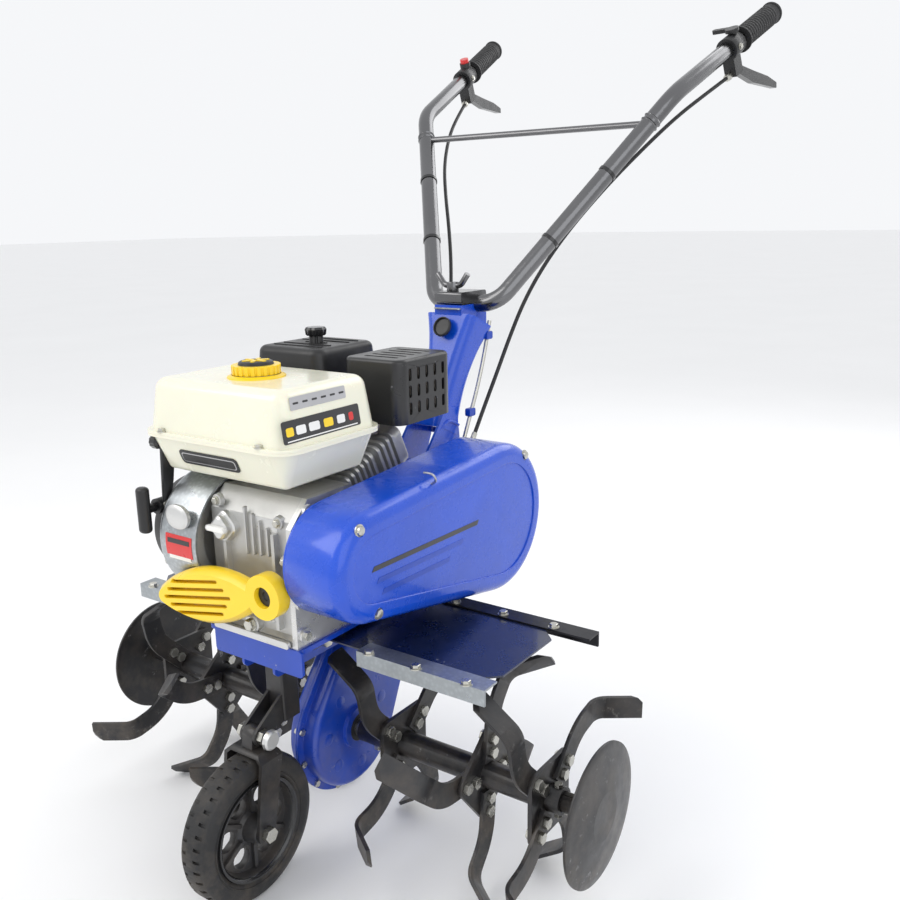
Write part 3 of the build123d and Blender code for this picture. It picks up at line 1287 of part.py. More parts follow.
GUARD_SLOTS = 6
with BuildPart() as muffler_guard:
    wide, long, high = MUFFLER_SIZE
    with BuildSketch(top(MUFFLER_Z + 2)):
        with Locations((MUFFLER_X, MUFFLER_Y)):
            RectangleRounded(wide, long, 16)
    extrude(amount=high - 2)
    fillet(muffler_guard.faces().sort_by(Axis.Z)[-1].edges(), radius=5)
    with BuildSketch(top(MUFFLER_Z + 2)):
        with Locations((MUFFLER_X, MUFFLER_Y)):
            RectangleRounded(wide - 5, long - 5, 14)
    extrude(amount=high - 5, mode=Mode.SUBTRACT)
    with BuildSketch(side(MUFFLER_X)):
        for row in range(3):
            for column in range(5):
                with Locations((MUFFLER_Y - 36 + 18 * column, MUFFLER_Z + 22 + 22 * row)):
                    SlotOverall(16, 6, rotation=90)
    extrude(amount=wide, mode=Mode.SUBTRACT)
    with BuildSketch(front(MUFFLER_Y)):
        for row in range(3):
            for column in range(4):
                with Locations((MUFFLER_X - 27 + 18 * column, MUFFLER_Z + 22 + 22 * row)):
                    SlotOverall(16, 6, rotation=90)
    extrude(amount=-long, mode=Mode.SUBTRACT)
    with BuildSketch(top(MUFFLER_Z + high - 10)):
        with Locations((MUFFLER_X, MUFFLER_Y)):
            with GridLocations(0, 17, 1, 5):
                SlotOverall(56, 6)
    extrude(amount=20, mode=Mode.SUBTRACT)
muffler_guard.part.label = "muffler_guard"
export_step(muffler_guard.part, "parts/muffler_guard.step")

# The front guard is a leaf-shaped louvred shell that stands off the front of the crankcase.
LOUVRES = 5
GUARD_FACE = CASTING_FRONT + 6 - GUARD_GAP - FIT
GUARD_LONG, GUARD_HIGH = 104.0, 35.0
EYE_RADIUS = 27.0


def leaf_area(grow=0.0):
    """Pointed leaf between two arcs, with rounded tips."""
    long, high = GUARD_LONG + grow, GUARD_HIGH + grow
    with BuildSketch() as area:
        with BuildLine():
            ThreePointArc((-long, 0), (0, high), (long, 0))
            ThreePointArc((long, 0), (0, -high), (-long, 0))
        make_face()
        fillet(area.vertices(), radius=14)
    return area.sketch_local


with BuildPart() as front_guard:
    with BuildSketch(front(GUARD_FACE)):
        with Locations(Location((*GUARD_MID, 0), GUARD_TILT)):
            add(leaf_area())
    extrude(amount=18)
    chamfer(front_guard.faces().sort_by(Axis.Y)[0].edges(), length=8, length2=6)
    with BuildSketch(front(GUARD_FACE)):
        with Locations(GUARD_EYE):
            Circle(EYE_RADIUS)
    extrude(amount=18)
    with BuildSketch(front(GUARD_FACE - 3)):
        with Locations(Location((*GUARD_MID, 0), GUARD_TILT)):
            add(leaf_area(-6))
    extrude(amount=8, mode=Mode.SUBTRACT)
    with BuildSketch(front(GUARD_FACE - 2)):
        with Locations(Location((*GUARD_MID, 0), GUARD_TILT)):
            for row in range(LOUVRES):
                off = row - (LOUVRES - 1) / 2
                with Locations((-14, 10 * off)):
                    SlotOverall(124 - 18 * abs(off), 4.5)
    extrude(amount=30, mode=Mode.SUBTRACT)
    with BuildSketch(front(GUARD_FACE - 7)):
        with Locations(GUARD_EYE):
            Circle(13)
    extrude(amount=20, mode=Mode.SUBTRACT)
front_guard.part.label = "front_guard"
export_step(front_guard.part, "parts/front_guard.step")

# ---------------------------------------------------------------- column and handlebar
LEAN = hypot(COLUMN_HEAD[0] - COLUMN_FOOT[0], COLUMN_HEAD[1] - COLUMN_FOOT[1])
LEAN_Y = (COLUMN_HEAD[0] - COLUMN_FOOT[0]) / LEAN
LEAN_Z = (COLUMN_HEAD[1] - COLUMN_FOOT[1]) / LEAN


def column_plane(along):
    """Plane square to the column, at a distance up from its foot."""
    origin = at(0, COLUMN_FOOT[0] + along * LEAN_Y, COLUMN_FOOT[1] + along * LEAN_Z)
    return Plane(origin=origin, x_dir=(1, 0, 0), z_dir=(0, LEAN_Y, LEAN_Z))


COLUMN_LEG_X = CASE_HALF + FIT
COLUMN_LEG_THICK = 4.0
CLAMP_X = 24.0
CLAMP_BACK, CLAMP_FRONT = 340.0, 272.0
TEE_Y = 286.0
with BuildPart() as column:
    for along, wide, deep in ((0, 58, 58), (70, 52, 50), (LEAN, 88, 64)):
        with BuildSketch(column_plane(along)):
            RectangleRounded(wide, deep, 14)
    loft()
    for along, wide, deep in ((-1, 50, 50), (70, 44, 42), (LEAN - 6, 78, 54)):
        with BuildSketch(column_plane(along)):
            RectangleRounded(wide, deep, 10)
    loft(mode=Mode.SUBTRACT)
    for hand in (1, -1):
        with BuildSketch(side(hand * COLUMN_LEG_X)):
            with BuildLine():
                Polyline(
                    (108, 392),
                    (146, 470),
                    (204, 536),
                    (222, 560),
                    (250, 556),
                    (256, 509),
                    (238, 470),
                    (224, 430),
                    (140, 376),
                    close=True,
                )
            make_face()
            with Locations(*LEG_BOLTS):
                Circle(RAIL_BOLT_RADIUS + FIT, mode=Mode.SUBTRACT)
            with Locations((INPUT_Y, INPUT_Z)):
                Circle(INPUT_BEARING[0] + 4 + GAP, mode=Mode.SUBTRACT)
        extrude(amount=hand * COLUMN_LEG_THICK)
    with BuildSketch(front(CLAMP_FRONT)):
        with Locations((0, BAR_PIVOT[1] - 17)):
            Rectangle(2 * CLAMP_X, 34)
    extrude(amount=CLAMP_FRONT - CLAMP_BACK)
    with BuildSketch(side(-60)):
        with Locations(BAR_PIVOT):
            Circle(BAR_RADIUS + RUN)
    extrude(amount=120, mode=Mode.SUBTRACT)
    with BuildSketch(top(BAR_PIVOT[1] - 30)):
        with Locations((0, TEE_Y)):
            Circle(PIN_RADIUS + RUN)
    extrude(amount=40, mode=Mode.SUBTRACT)
column.part.label = "column"
export_step(column.part, "parts/column.step")

CLAMP_HEIGHT = 18.0
with BuildPart() as bar_clamp:
    with BuildSketch(side(-CLAMP_X)):
        with Locations(((CLAMP_FRONT + CLAMP_BACK) / 2, BAR_PIVOT[1] + 1 + CLAMP_HEIGHT / 2)):
            RectangleRounded(CLAMP_BACK - CLAMP_FRONT, CLAMP_HEIGHT, 4)
        with Locations(BAR_PIVOT):
            Circle(BAR_RADIUS + RUN, mode=Mode.SUBTRACT)
    extrude(amount=2 * CLAMP_X)
    with BuildSketch(top(BAR_PIVOT[1])):
        with Locations((0, TEE_Y)):
            Circle(PIN_RADIUS + RUN)
    extrude(amount=40, mode=Mode.SUBTRACT)
bar_clamp.part.label = "bar_clamp"
export_step(bar_clamp.part, "parts/bar_clamp.step")

TEE_SEAT = BAR_PIVOT[1] + 1 + CLAMP_HEIGHT + FIT
with BuildPart() as tee_bolt:
    with BuildSketch(top(BAR_PIVOT[1] - 26)):
        with Locations((0, TEE_Y)):
            Circle(PIN_RADIUS)
    extrude(amount=TEE_SEAT - BAR_PIVOT[1] + 26)
    with BuildSketch(top(TEE_SEAT)):
        with Locations((0, TEE_Y)):
            Circle(9)
    extrude(amount=14)
    with BuildLine() as wing_line:
        FilletPolyline(
            at(-27, TEE_Y, TEE_SEAT + 26),
            at(-14, TEE_Y, TEE_SEAT + 9),
            at(14, TEE_Y, TEE_SEAT + 9),
            at(27, TEE_Y, TEE_SEAT + 26),
            radius=10,
        )
    with BuildSketch(Plane(wing_line.line @ 0, z_dir=wing_line.line % 0)):
        Circle(4.5)
    sweep(path=wing_line.line)
tee_bolt.part.label = "tee_bolt"
export_step(tee_bolt.part, "parts/tee_bolt.step")


def bar_point(point, hand):
    """Point of the handlebar on one side of the machine."""
    x, y, z = point
    return Vector(*at(hand * x, y, z))


with BuildPart() as handlebar:
    corner = (BAR_CORNER_X, *BAR_PIVOT)
    with BuildLine() as bar_line:
        FilletPolyline(
            bar_point(BAR_END, 1),
            bar_point(BAR_BEND, 1),
            bar_point(corner, 1),
            bar_point(corner, -1),
            bar_point(BAR_BEND, -1),
            bar_point(BAR_END, -1),
            radius=(90, 42, 42, 90),
        )
    with BuildSketch(Plane(bar_line.line @ 0, z_dir=bar_line.line % 0)):
        Circle(BAR_RADIUS)
        Circle(BAR_RADIUS - BAR_WALL, mode=Mode.SUBTRACT)
    sweep(path=bar_line.line)
    with BuildSketch(Plane(at(-CROSS_BAR[0] + 9, CROSS_BAR[1], CROSS_BAR[2]), z_dir=(1, 0, 0))):
        Circle(5)
    extrude(amount=2 * CROSS_BAR[0] - 18)
handlebar.part.label = "handlebar"
export_step(handlebar.part, "parts/handlebar.step")


def grip_plane(hand, back, drop=0.0):
    """Plane square to the end of the bar. Its own x is across, and its own y points down."""
    end, bend = bar_point(BAR_END, hand), bar_point(BAR_BEND, hand)
    out = (end - bend).normalized()
    across = Vector(out.Y, -out.X, 0).normalized()
    plane = Plane(origin=end - out * back, x_dir=across, z_dir=out)
    return plane.offset(0) if drop == 0 else Plane(plane.from_local_coords((0, drop, 0)), across, out)


def lid_plane(hand, back, height):
    """Plane over the bar, at a height above its centre line, that faces away from the bar."""
    flat = grip_plane(hand, back, drop=-height)
    return Plane(flat.origin, x_dir=flat.x_dir, z_dir=-flat.y_dir)


with BuildPart() as handle_grips:
    for hand in (1, -1):
        with BuildSketch(grip_plane(hand, GRIP_LENGTH)):
            Circle(GRIP_RADIUS)
            Circle(BAR_RADIUS, mode=Mode.SUBTRACT)
        extrude(amount=GRIP_LENGTH)
        with BuildSketch(grip_plane(hand, 0)):
            Circle(GRIP_RADIUS + 1)
        extrude(amount=5)
        with BuildSketch(grip_plane(hand, GRIP_LENGTH)):
            Circle(GRIP_RADIUS + 4)
            Circle(BAR_RADIUS, mode=Mode.SUBTRACT)
        extrude(amount=4)
handle_grips.part.label = "handle_grips"
export_step(handle_grips.part, "parts/handle_grips.step")

BRACKET_LONG = 24.0
EAR_X = 6.0
BRACKET_WEB = 3.0  # wall behind the lever, clear of its tail as it swings
CONTROL_BACK = 136.0  # throttle and stop button, from the end of the bar
BUTTON_TRAVEL = 3.0
BUTTON_HEIGHT = BAR_RADIUS + 9
with BuildPart() as lever_brackets:
    for hand in (1, -1):
        with BuildSketch(grip_plane(hand, LEVER_BACK + BRACKET_LONG / 2)):
            Circle(BAR_RADIUS + 5)
            with Locations((0, (LEVER_DROP + BAR_RADIUS) / 2)):
                Rectangle(2 * EAR_X + 8, LEVER_DROP + 8 - BAR_RADIUS + 6)
            Circle(BAR_RADIUS, mode=Mode.SUBTRACT)
        extrude(amount=BRACKET_LONG)
        with BuildSketch(grip_plane(hand, LEVER_BACK + BRACKET_LONG / 2 - BRACKET_WEB, drop=LEVER_DROP + 4)):
            Rectangle(2 * EAR_X, 30)
        extrude(amount=BRACKET_LONG, mode=Mode.SUBTRACT)
        pin = grip_plane(hand, LEVER_BACK, drop=LEVER_DROP)
        with BuildSketch(Plane(pin.origin, x_dir=pin.z_dir, z_dir=pin.x_dir)):
            Circle(3)
        extrude(amount=EAR_X + 4, both=True)
        # A collar beside the bracket carries the throttle or the stop button.
        with BuildSketch(grip_plane(hand, CONTROL_BACK + 8)):
            Circle(BAR_RADIUS + 4)
            Circle(BAR_RADIUS, mode=Mode.SUBTRACT)
        extrude(amount=16)
        with BuildSketch(lid_plane(hand, CONTROL_BACK, BAR_RADIUS + 2)):
            Circle(7 if hand > 0 else 10)
        extrude(amount=3.8 if hand > 0 else 10)
    with BuildSketch(lid_plane(-1, CONTROL_BACK, BUTTON_HEIGHT - BUTTON_TRAVEL - FIT)):
        Circle(8 + FIT)
    extrude(amount=10, mode=Mode.SUBTRACT)
lever_brackets.part.label = "lever_brackets"
export_step(lever_brackets.part, "parts/lever_brackets.step")

for hand, name in ((1, "forward_lever"), (-1, "reverse_lever")):
    pin = grip_plane(hand, LEVER_BACK, drop=LEVER_DROP)
    flat = Plane(pin.origin, x_dir=pin.z_dir, z_dir=pin.x_dir)
    down = -1 if flat.y_dir.Z > 0 else 1
    with BuildPart() as lever:
        with BuildSketch(flat.offset(-EAR_X + GAP)):
            tip_x = LEVER_LENGTH * cos(radians(LEVER_OPEN))
            tip_y = down * LEVER_LENGTH * sin(radians(LEVER_OPEN))
            with BuildLine():
                Polyline(
                    (-6, -down * 5),
                    (8, -down * 7),
                    (tip_x * 0.45, tip_y * 0.4 - down * 7),
                    (tip_x * 0.8, tip_y * 0.72 - down * 5),
                    (tip_x + 3, tip_y - down * 4),
                    (tip_x, tip_y + down * 5),
                    (tip_x * 0.78, tip_y * 0.78 + down * 7),
                    (tip_x * 0.4, tip_y * 0.45 + down * 7),
                    (6, down * 8),
                    (-6, down * 6),
                    close=True,
                )
            make_face()
            Circle(3 + RUN, mode=Mode.SUBTRACT)
        extrude(amount=2 * (EAR_X - GAP))
        fillet(lever.edges().filter_by(Axis(flat.origin, flat.z_dir)), radius=2)
    lever.part.label = name
    export_step(lever.part, f"parts/{name}.step")

with BuildPart() as stop_button:
    with BuildSketch(lid_plane(-1, CONTROL_BACK, BUTTON_HEIGHT)):
        Circle(8)
    extrude(amount=10)
stop_button.part.label = "stop_button"
export_step(stop_button.part, "parts/stop_button.step")

with BuildPart() as throttle_lever:
    with BuildSketch(lid_plane(1, CONTROL_BACK, BAR_RADIUS + 6 + GAP)):
        Circle(11)
        with Locations((-20, 3)):
            RectangleRounded(30, 9, 4)
    extrude(amount=6)
throttle_lever.part.label = "throttle_lever"
export_step(throttle_lever.part, "parts/throttle_lever.step")

# ---------------------------------------------------------------- control cables
CABLE_ROUTES = {
    "forward_cable": [
        (257.0, 713.0, 1043.0),
        (240.0, 655.0, 1012.0),
        (218.0, 592.0, 975.0),
        (190.0, 535.0, 928.0),
        (155.0, 480.0, 872.0),
        (118.0, 436.0, 812.0),
        (88.0, 408.0, 758.0),
        (66.0, 384.0, 704.0),
        (54.0, 360.0, 650.0),
        (46.0, 334.0, 596.0),
        (44.0, 300.0, 548.0),
        (50.0, 262.0, 512.0),
    ],
    "reverse_cable": [
        (-257.0, 713.0, 1043.0),
        (-243.0, 656.0, 1006.0),
        (-222.0, 600.0, 966.0),
        (-190.0, 540.0, 916.0),
        (-150.0, 486.0, 864.0),
        (-112.0, 440.0, 810.0),
        (-84.0, 404.0, 752.0),
        (-66.0, 374.0, 696.0),
        (-56.0, 344.0, 640.0),
        (-50.0, 310.0, 588.0),
        (-46.0, 274.0, 542.0),
    ],
}
cable_volume = 0.0
with BuildPart() as control_cables:
    for name, route in CABLE_ROUTES.items():
        points = [Vector(*at(*point)) for point in route]
        radii = []
        for before, here, after in zip(points, points[1:], points[2:]):
            half_turn = radians((here - before).get_angle(after - here)) / 2
            shorter = min((here - before).length, (after - here).length)
            radii.append(0.45 * shorter / tan(half_turn))
        print(name, "bend radii", [round(radius) for radius in radii])
        with BuildLine() as cable_line:
            FilletPolyline(*points, radius=radii)
        with BuildSketch(Plane(cable_line.line @ 0, z_dir=cable_line.line % 0)):
            Circle(CABLE_RADIUS)
        sweep(path=cable_line.line)
        cable_volume += pi * CABLE_RADIUS**2 * sum(edge.length for edge in cable_line.edges())
print("cable volume against section x length", round(control_cables.part.volume / cable_volume, 4))
control_cables.part.label = "control_cables"
export_step(control_cables.part, "parts/control_cables.step")

# ---------------------------------------------------------------- chassis bolts
BOLT_GROUPS = [  # plane of the heads, places, radius, length, nuts on the far end
    (side(CASE_FLANGE_THICK), FLANGE_BOLTS, FLANGE_BOLT_RADIUS, 2 * CASE_FLANGE_THICK, True),
    (
        side(FENDER_IN + FENDER_THICK),
        RAIL_BOLTS,
        RAIL_BOLT_RADIUS,
        2 * (FENDER_IN + FENDER_THICK),
        True,
    ),
    (
        side(COLUMN_LEG_X + COLUMN_LEG_THICK),
        LEG_BOLTS,
        RAIL_BOLT_RADIUS,
        2 * (COLUMN_LEG_X + COLUMN_LEG_THICK),
        True,
    ),
    (
        side(COVER_X + COVER_DEPTH - 3),
        COVER_BOLTS,
        COVER_BOLT_RADIUS,
        COVER_X + COVER_DEPTH - 3 - GUARD_X,
        True,
    ),
    (side(CASE_OUT + 12), SIDE_BOLTS, 3.0, 12.0, False),
    (top(BASE_Z + 12), ENGINE_BOLTS, 4.0, 12.0 + PLATE_THICK, True),
]
with BuildPart() as chassis_bolts:
    for plane, places, radius, length, nuts in BOLT_GROUPS:
        with BuildSketch(plane):
            with Locations(*places):
                Circle(radius)
        extrude(amount=-length, clean=False)
        with BuildSketch(plane):
            with Locations(*places):
                RegularPolygon(radius * 1.9, 6)
        extrude(amount=radius * 1.3, clean=False)
        if nuts:
            with BuildSketch(plane.offset(-length)):
                with Locations(*places):
                    RegularPolygon(radius * 1.9, 6)
            extrude(amount=-radius * 1.3, clean=False)
chassis_bolts.part.label = "chassis_bolts"
export_step(chassis_bolts.part, "parts/chassis_bolts.step")
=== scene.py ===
"""Looks of the mini cultivator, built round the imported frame. Lengths are metres unless said otherwise."""
from math import cos, pi, radians, sin, tan, tau

import bmesh
import bpy
from mathutils import Matrix, Vector


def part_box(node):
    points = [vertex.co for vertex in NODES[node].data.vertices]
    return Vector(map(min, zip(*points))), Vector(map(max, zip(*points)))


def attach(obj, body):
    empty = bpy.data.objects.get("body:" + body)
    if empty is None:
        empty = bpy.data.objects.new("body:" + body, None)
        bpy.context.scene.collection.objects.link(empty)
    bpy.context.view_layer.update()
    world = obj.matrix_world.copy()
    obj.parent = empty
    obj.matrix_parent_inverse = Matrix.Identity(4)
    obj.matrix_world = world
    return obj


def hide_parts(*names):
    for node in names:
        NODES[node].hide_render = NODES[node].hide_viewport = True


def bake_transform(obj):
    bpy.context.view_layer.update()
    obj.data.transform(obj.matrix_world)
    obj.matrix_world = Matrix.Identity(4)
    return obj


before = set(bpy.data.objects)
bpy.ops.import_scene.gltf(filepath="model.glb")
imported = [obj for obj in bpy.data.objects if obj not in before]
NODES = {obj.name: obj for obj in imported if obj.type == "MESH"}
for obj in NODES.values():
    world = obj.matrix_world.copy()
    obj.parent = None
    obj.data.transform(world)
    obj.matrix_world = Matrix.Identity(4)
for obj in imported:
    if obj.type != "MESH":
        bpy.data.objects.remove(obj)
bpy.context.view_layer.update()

MM = 0.001
AXLE_Y = -294.9  # the CAD measures fore and aft from the tine axle, in mm


def at(x, y, z):
    """Point in the row frame from millimetres, with y measured from the tine axle."""
    return Vector((x * MM, (y + AXLE_Y) * MM, z * MM))


# ---------------------------------------------------------------- camera
CAMERA_AT = (811.5, -886.1, 830.2)
CAMERA_TURN, CAMERA_DOWN, CAMERA_ROLL = radians(35.06), radians(13.86), radians(-1.13)
CAMERA_LENS = 37.8


def add_camera():
    look = Vector(
        (
            -sin(CAMERA_TURN) * cos(CAMERA_DOWN),
            cos(CAMERA_TURN) * cos(CAMERA_DOWN),
            -sin(CAMERA_DOWN),
        )
    )
    level = Vector((cos(CAMERA_TURN), sin(CAMERA_TURN), 0))
    above = level.cross(look)
    right = level * cos(CAMERA_ROLL) + above * sin(CAMERA_ROLL)
    up = above * cos(CAMERA_ROLL) - level * sin(CAMERA_ROLL)
    data = bpy.data.cameras.new("camera")
    data.lens, data.sensor_width = CAMERA_LENS, 36
    data.clip_start, data.clip_end = 0.05, 50
    camera = bpy.data.objects.new("camera", data)
    bpy.context.scene.collection.objects.link(camera)
    camera.matrix_world = Matrix.Translation(at(*CAMERA_AT)) @ Matrix((
        right, up, -look,
    )).transposed().to_4x4()
    bpy.context.scene.camera = camera


add_camera()


# ---------------------------------------------------------------- materials
class Tree:
    """Small helper that adds shader nodes and links them."""

    def __init__(self, name):
        self.material = bpy.data.materials.new(name)
        self.material.use_nodes = True
        self.nodes = self.material.node_tree.nodes
        self.links = self.material.node_tree.links
        self.shader = self.nodes["Principled BSDF"]
        self.space = self.nodes.new("ShaderNodeTexCoord").outputs["Object"]

    def stretched(self, scale):
        mapping = self.nodes.new("ShaderNodeMapping")
        mapping.inputs["Scale"].default_value = scale
        self.links.new(self.space, mapping.inputs["Vector"])
        return mapping.outputs["Vector"]

    def noise(self, scale, detail=4.0, roughness=0.55, space=None):
        node = self.nodes.new("ShaderNodeTexNoise")
        node.inputs["Scale"].default_value = scale
        node.inputs["Detail"].default_value = detail
        node.inputs["Roughness"].default_value = roughness
        self.links.new(space or self.space, node.inputs["Vector"])
        return node.outputs["Fac"]

    def cells(self, scale, space=None):
        node = self.nodes.new("ShaderNodeTexVoronoi")
        node.inputs["Scale"].default_value = scale
        self.links.new(space or self.space, node.inputs["Vector"])
        return node

    def ramp(self, value, low, high, out_low=0.0, out_high=1.0):
        node = self.nodes.new("ShaderNodeMapRange")
        for key, number in (
            ("From Min", low), ("From Max", high), ("To Min", out_low), ("To Max", out_high),
        ):
            node.inputs[key].default_value = number
        self.links.new(value, node.inputs["Value"])
        return node.outputs["Result"]

    def multiply(self, first, second):
        node = self.nodes.new("ShaderNodeMath")
        node.operation = "MULTIPLY"
        self.links.new(first, node.inputs[0])
        if isinstance(second, float):
            node.inputs[1].default_value = second
        else:
            self.links.new(second, node.inputs[1])
        return node.outputs[0]

    def place(self, axis):
        node = self.nodes.new("ShaderNodeSeparateXYZ")
        self.links.new(self.space, node.inputs[0])
        return node.outputs[axis]

    def mix(self, factor, first, second):
        node = self.nodes.new("ShaderNodeMix")
        node.data_type = "RGBA"
        self.links.new(factor, node.inputs["Factor"])
        for socket, value in ((node.inputs[6], first), (node.inputs[7], second)):
            if isinstance(value, tuple):
                socket.default_value = (*value[:3], 1)
            else:
                self.links.new(value, socket)
        return node.outputs[2]

    def bump(self, value, strength, distance, under=None):
        node = self.nodes.new("ShaderNodeBump")
        node.inputs["Strength"].default_value = strength
        node.inputs["Distance"].default_value = distance
        self.links.new(value, node.inputs["Height"])
        if under is not None:
            self.links.new(under, node.inputs["Normal"])
        return node.outputs["Normal"]


def shade(colour, amount):
    return tuple(min(1.0, channel * amount) for channel in colour)


def surface(
    name,
    colour,
    rough,
    metallic=0.0,
    coat=0.0,
    tone=0.12,
    tone_scale=9.0,
    spread=0.08,
    bump=0.15,
    bump_scale=900.0,
    bump_size=0.0002,
    wave=0.0,
    stretch=None,
    scuff=0.0,
    scuff_colour=(0.35, 0.35, 0.36),
    dust=0.0,
    spangle=0.0,
    anisotropic=0.0,
    dark_behind=None,
):
    """Paint, plastic, rubber or metal: colour that drifts, scuffs, dust low down, uneven gloss and fine bump.

    With dark_behind, whatever lies behind that row-frame y is painted dark instead."""
    tree = Tree(name)
    tree.shader.inputs["Metallic"].default_value = metallic
    tree.shader.inputs["Coat Weight"].default_value = coat
    tree.shader.inputs["Coat Roughness"].default_value = 0.08
    tree.shader.inputs["Anisotropic"].default_value = anisotropic
    space = tree.stretched(stretch) if stretch else None
    drift = tree.ramp(tree.noise(tone_scale, 5.0, 0.6, space), 0.3, 0.7)
    base = tree.mix(drift, shade(colour, 1 - tone), shade(colour, 1 + tone))
    if spangle:
        cells = tree.cells(180.0)
        flake = tree.multiply(tree.ramp(cells.outputs["Distance"], 0.0, 0.6), spangle)
        base = tree.mix(flake, base, shade(colour, 0.55))
    if scuff:
        worn = tree.ramp(tree.noise(70.0, 9.0, 0.72), 0.66 - scuff * 0.1, 0.72)
        worn = tree.multiply(worn, tree.ramp(tree.noise(11.0, 3.0), 0.45, 0.62))
        base = tree.mix(worn, base, scuff_colour)
    if dust:
        low = tree.ramp(tree.place("Z"), 0.34, 0.02)
        soil = tree.multiply(tree.multiply(low, tree.ramp(tree.noise(26.0, 7.0, 0.65), 0.42, 0.7)), dust)
        base = tree.mix(soil, base, (0.19, 0.15, 0.11))
    if dark_behind is not None:
        base = tree.mix(
            tree.ramp(tree.place("Y"), dark_behind, dark_behind + 0.001), base, (0.03, 0.03, 0.035),
        )
    tree.links.new(base, tree.shader.inputs["Base Color"])
    gloss = tree.ramp(
        tree.noise(38.0, 6.0, 0.65, space), 0.3, 0.7, max(0.02, rough - spread), rough + spread,
    )
    tree.links.new(gloss, tree.shader.inputs["Roughness"])
    normal = tree.bump(tree.noise(bump_scale, 3.0, 0.6, space), bump, bump_size)
    if wave:
        normal = tree.bump(tree.noise(55.0, 2.0), wave, 0.0006, normal)
    tree.links.new(normal, tree.shader.inputs["Normal"])
    return tree.material


BLUE = surface(
    "gloss_blue_paint", (0.001, 0.066, 0.56), 0.27, coat=0.4, tone=0.10, bump=0.08, bump_scale=260,
    wave=0.05,
)
BLUE_DARK = surface(
    "blue_paint_low", (0.001, 0.050, 0.44), 0.34, coat=0.3, tone=0.14, scuff=0.3, dust=0.35, wave=0.05,
)
NAVY = surface(
    "navy_fender_paint", (0.006, 0.012, 0.045), 0.30, coat=0.5, tone=0.2, scuff=0.25, dust=0.3, wave=0.08,
)
BLACK = surface(
    "black_paint", (0.012, 0.012, 0.014), 0.42, coat=0.15, tone=0.25, scuff=0.5, dust=0.35, wave=0.06,
)
BLACK_EDGE = surface(
    "worn_black_steel", (
        0.014, 0.014, 0.016,
    ), 0.46, coat=0.1, tone=0.3, scuff=1.0, scuff_colour=(0.2, 0.19, 0.18), dust=0.45, wave=0.1
)
GALVANISED = surface(
    "galvanised_sheet", (0.50, 0.53, 0.55), 0.34, metallic=0.9, tone=0.10, spangle=0.5, spread=0.12,
)
ZINC = surface(
    "zinc_plate", (0.56, 0.55, 0.50), 0.30, metallic=0.95, tone=0.12, scuff=0.2,
    scuff_colour=(0.25, 0.23, 0.2), spread=0.1,
)
STEEL = surface(
    "ground_steel", (0.45, 0.45, 0.46), 0.28, metallic=1.0, tone=0.08, stretch=(900, 30, 30), bump=0.1,
    bump_scale=1.0,
)
CHROME = surface(
    "chrome_tube", (0.17, 0.17, 0.175), 0.20, metallic=1.0, tone=0.06, spread=0.06, bump=0.03,
    bump_scale=400, scuff=0.1,
)
CAST = surface(
    "cast_aluminium", (
        0.56, 0.56, 0.55,
    ), 0.42, metallic=0.75, tone=0.12, spread=0.12, bump=0.5, bump_scale=700, bump_size=0.0004
)
CAST_PALE = surface(
    "machined_aluminium", (
        0.66, 0.66, 0.65,
    ), 0.33, metallic=0.8, tone=0.08, spread=0.1, bump=0.25, bump_scale=900
)
IRON = surface(
    "cast_iron", (0.16, 0.16, 0.165), 0.5, metallic=0.8, tone=0.2, bump=0.5, bump_scale=500,
    bump_size=0.0004,
)
CREAM = surface(
    "cream_tank", (0.83, 0.79, 0.64), 0.22, coat=0.45, tone=0.03, bump=0.05, bump_scale=300, wave=0.06,
)
CREAM.node_tree.nodes["Principled BSDF"].inputs["Subsurface Weight"].default_value = 0.08
YELLOW = surface(
    "yellow_plastic", (0.90, 0.62, 0.015), 0.34, coat=0.25, tone=0.06, bump=0.12, bump_scale=700,
)
RED = surface("red_plastic", (0.62, 0.02, 0.02), 0.3, coat=0.3, tone=0.08)
PLASTIC = surface(
    "black_plastic", (0.014, 0.014, 0.015), 0.38, tone=0.2, bump=0.35, bump_scale=1500, spread=0.1,
)
PLASTIC_GLOSS = surface(
    "gloss_black_plastic", (0.012, 0.012, 0.013), 0.2, coat=0.3, tone=0.2, bump=0.1, bump_scale=900,
)
RUBBER = surface(
    "grip_rubber", (0.016, 0.016, 0.017), 0.55, tone=0.2, bump=0.5, bump_scale=1300, bump_size=0.0003,
)
TYRE = surface(
    "tyre_rubber", (0.018, 0.018, 0.019), 0.62, tone=0.25, dust=0.35, bump=0.4, bump_scale=800,
    bump_size=0.0003,
)
MUFFLER = surface(
    "hot_steel", (0.30, 0.27, 0.24), 0.42, metallic=0.9, tone=0.25, tone_scale=22, spread=0.12,
)
GUARD_BLACK = surface("heat_black", (0.016, 0.016, 0.017), 0.34, coat=0.1, tone=0.2, scuff=0.25, wave=0.08)
CHAIN = surface("oiled_chain", (0.22, 0.21, 0.19), 0.28, metallic=0.95, tone=0.3, tone_scale=120)

STRIP = surface(
    "fender_strip", (0.42, 0.45, 0.47), 0.36, metallic=0.85, tone=0.10, spangle=0.4, spread=0.12,
    dark_behind=AXLE_Y * MM,
)
RIM = surface(
    "rim_plastic", (0.030, 0.030, 0.032), 0.42, tone=0.2, dust=0.25, bump=0.3, bump_scale=1100, spread=0.1,
)

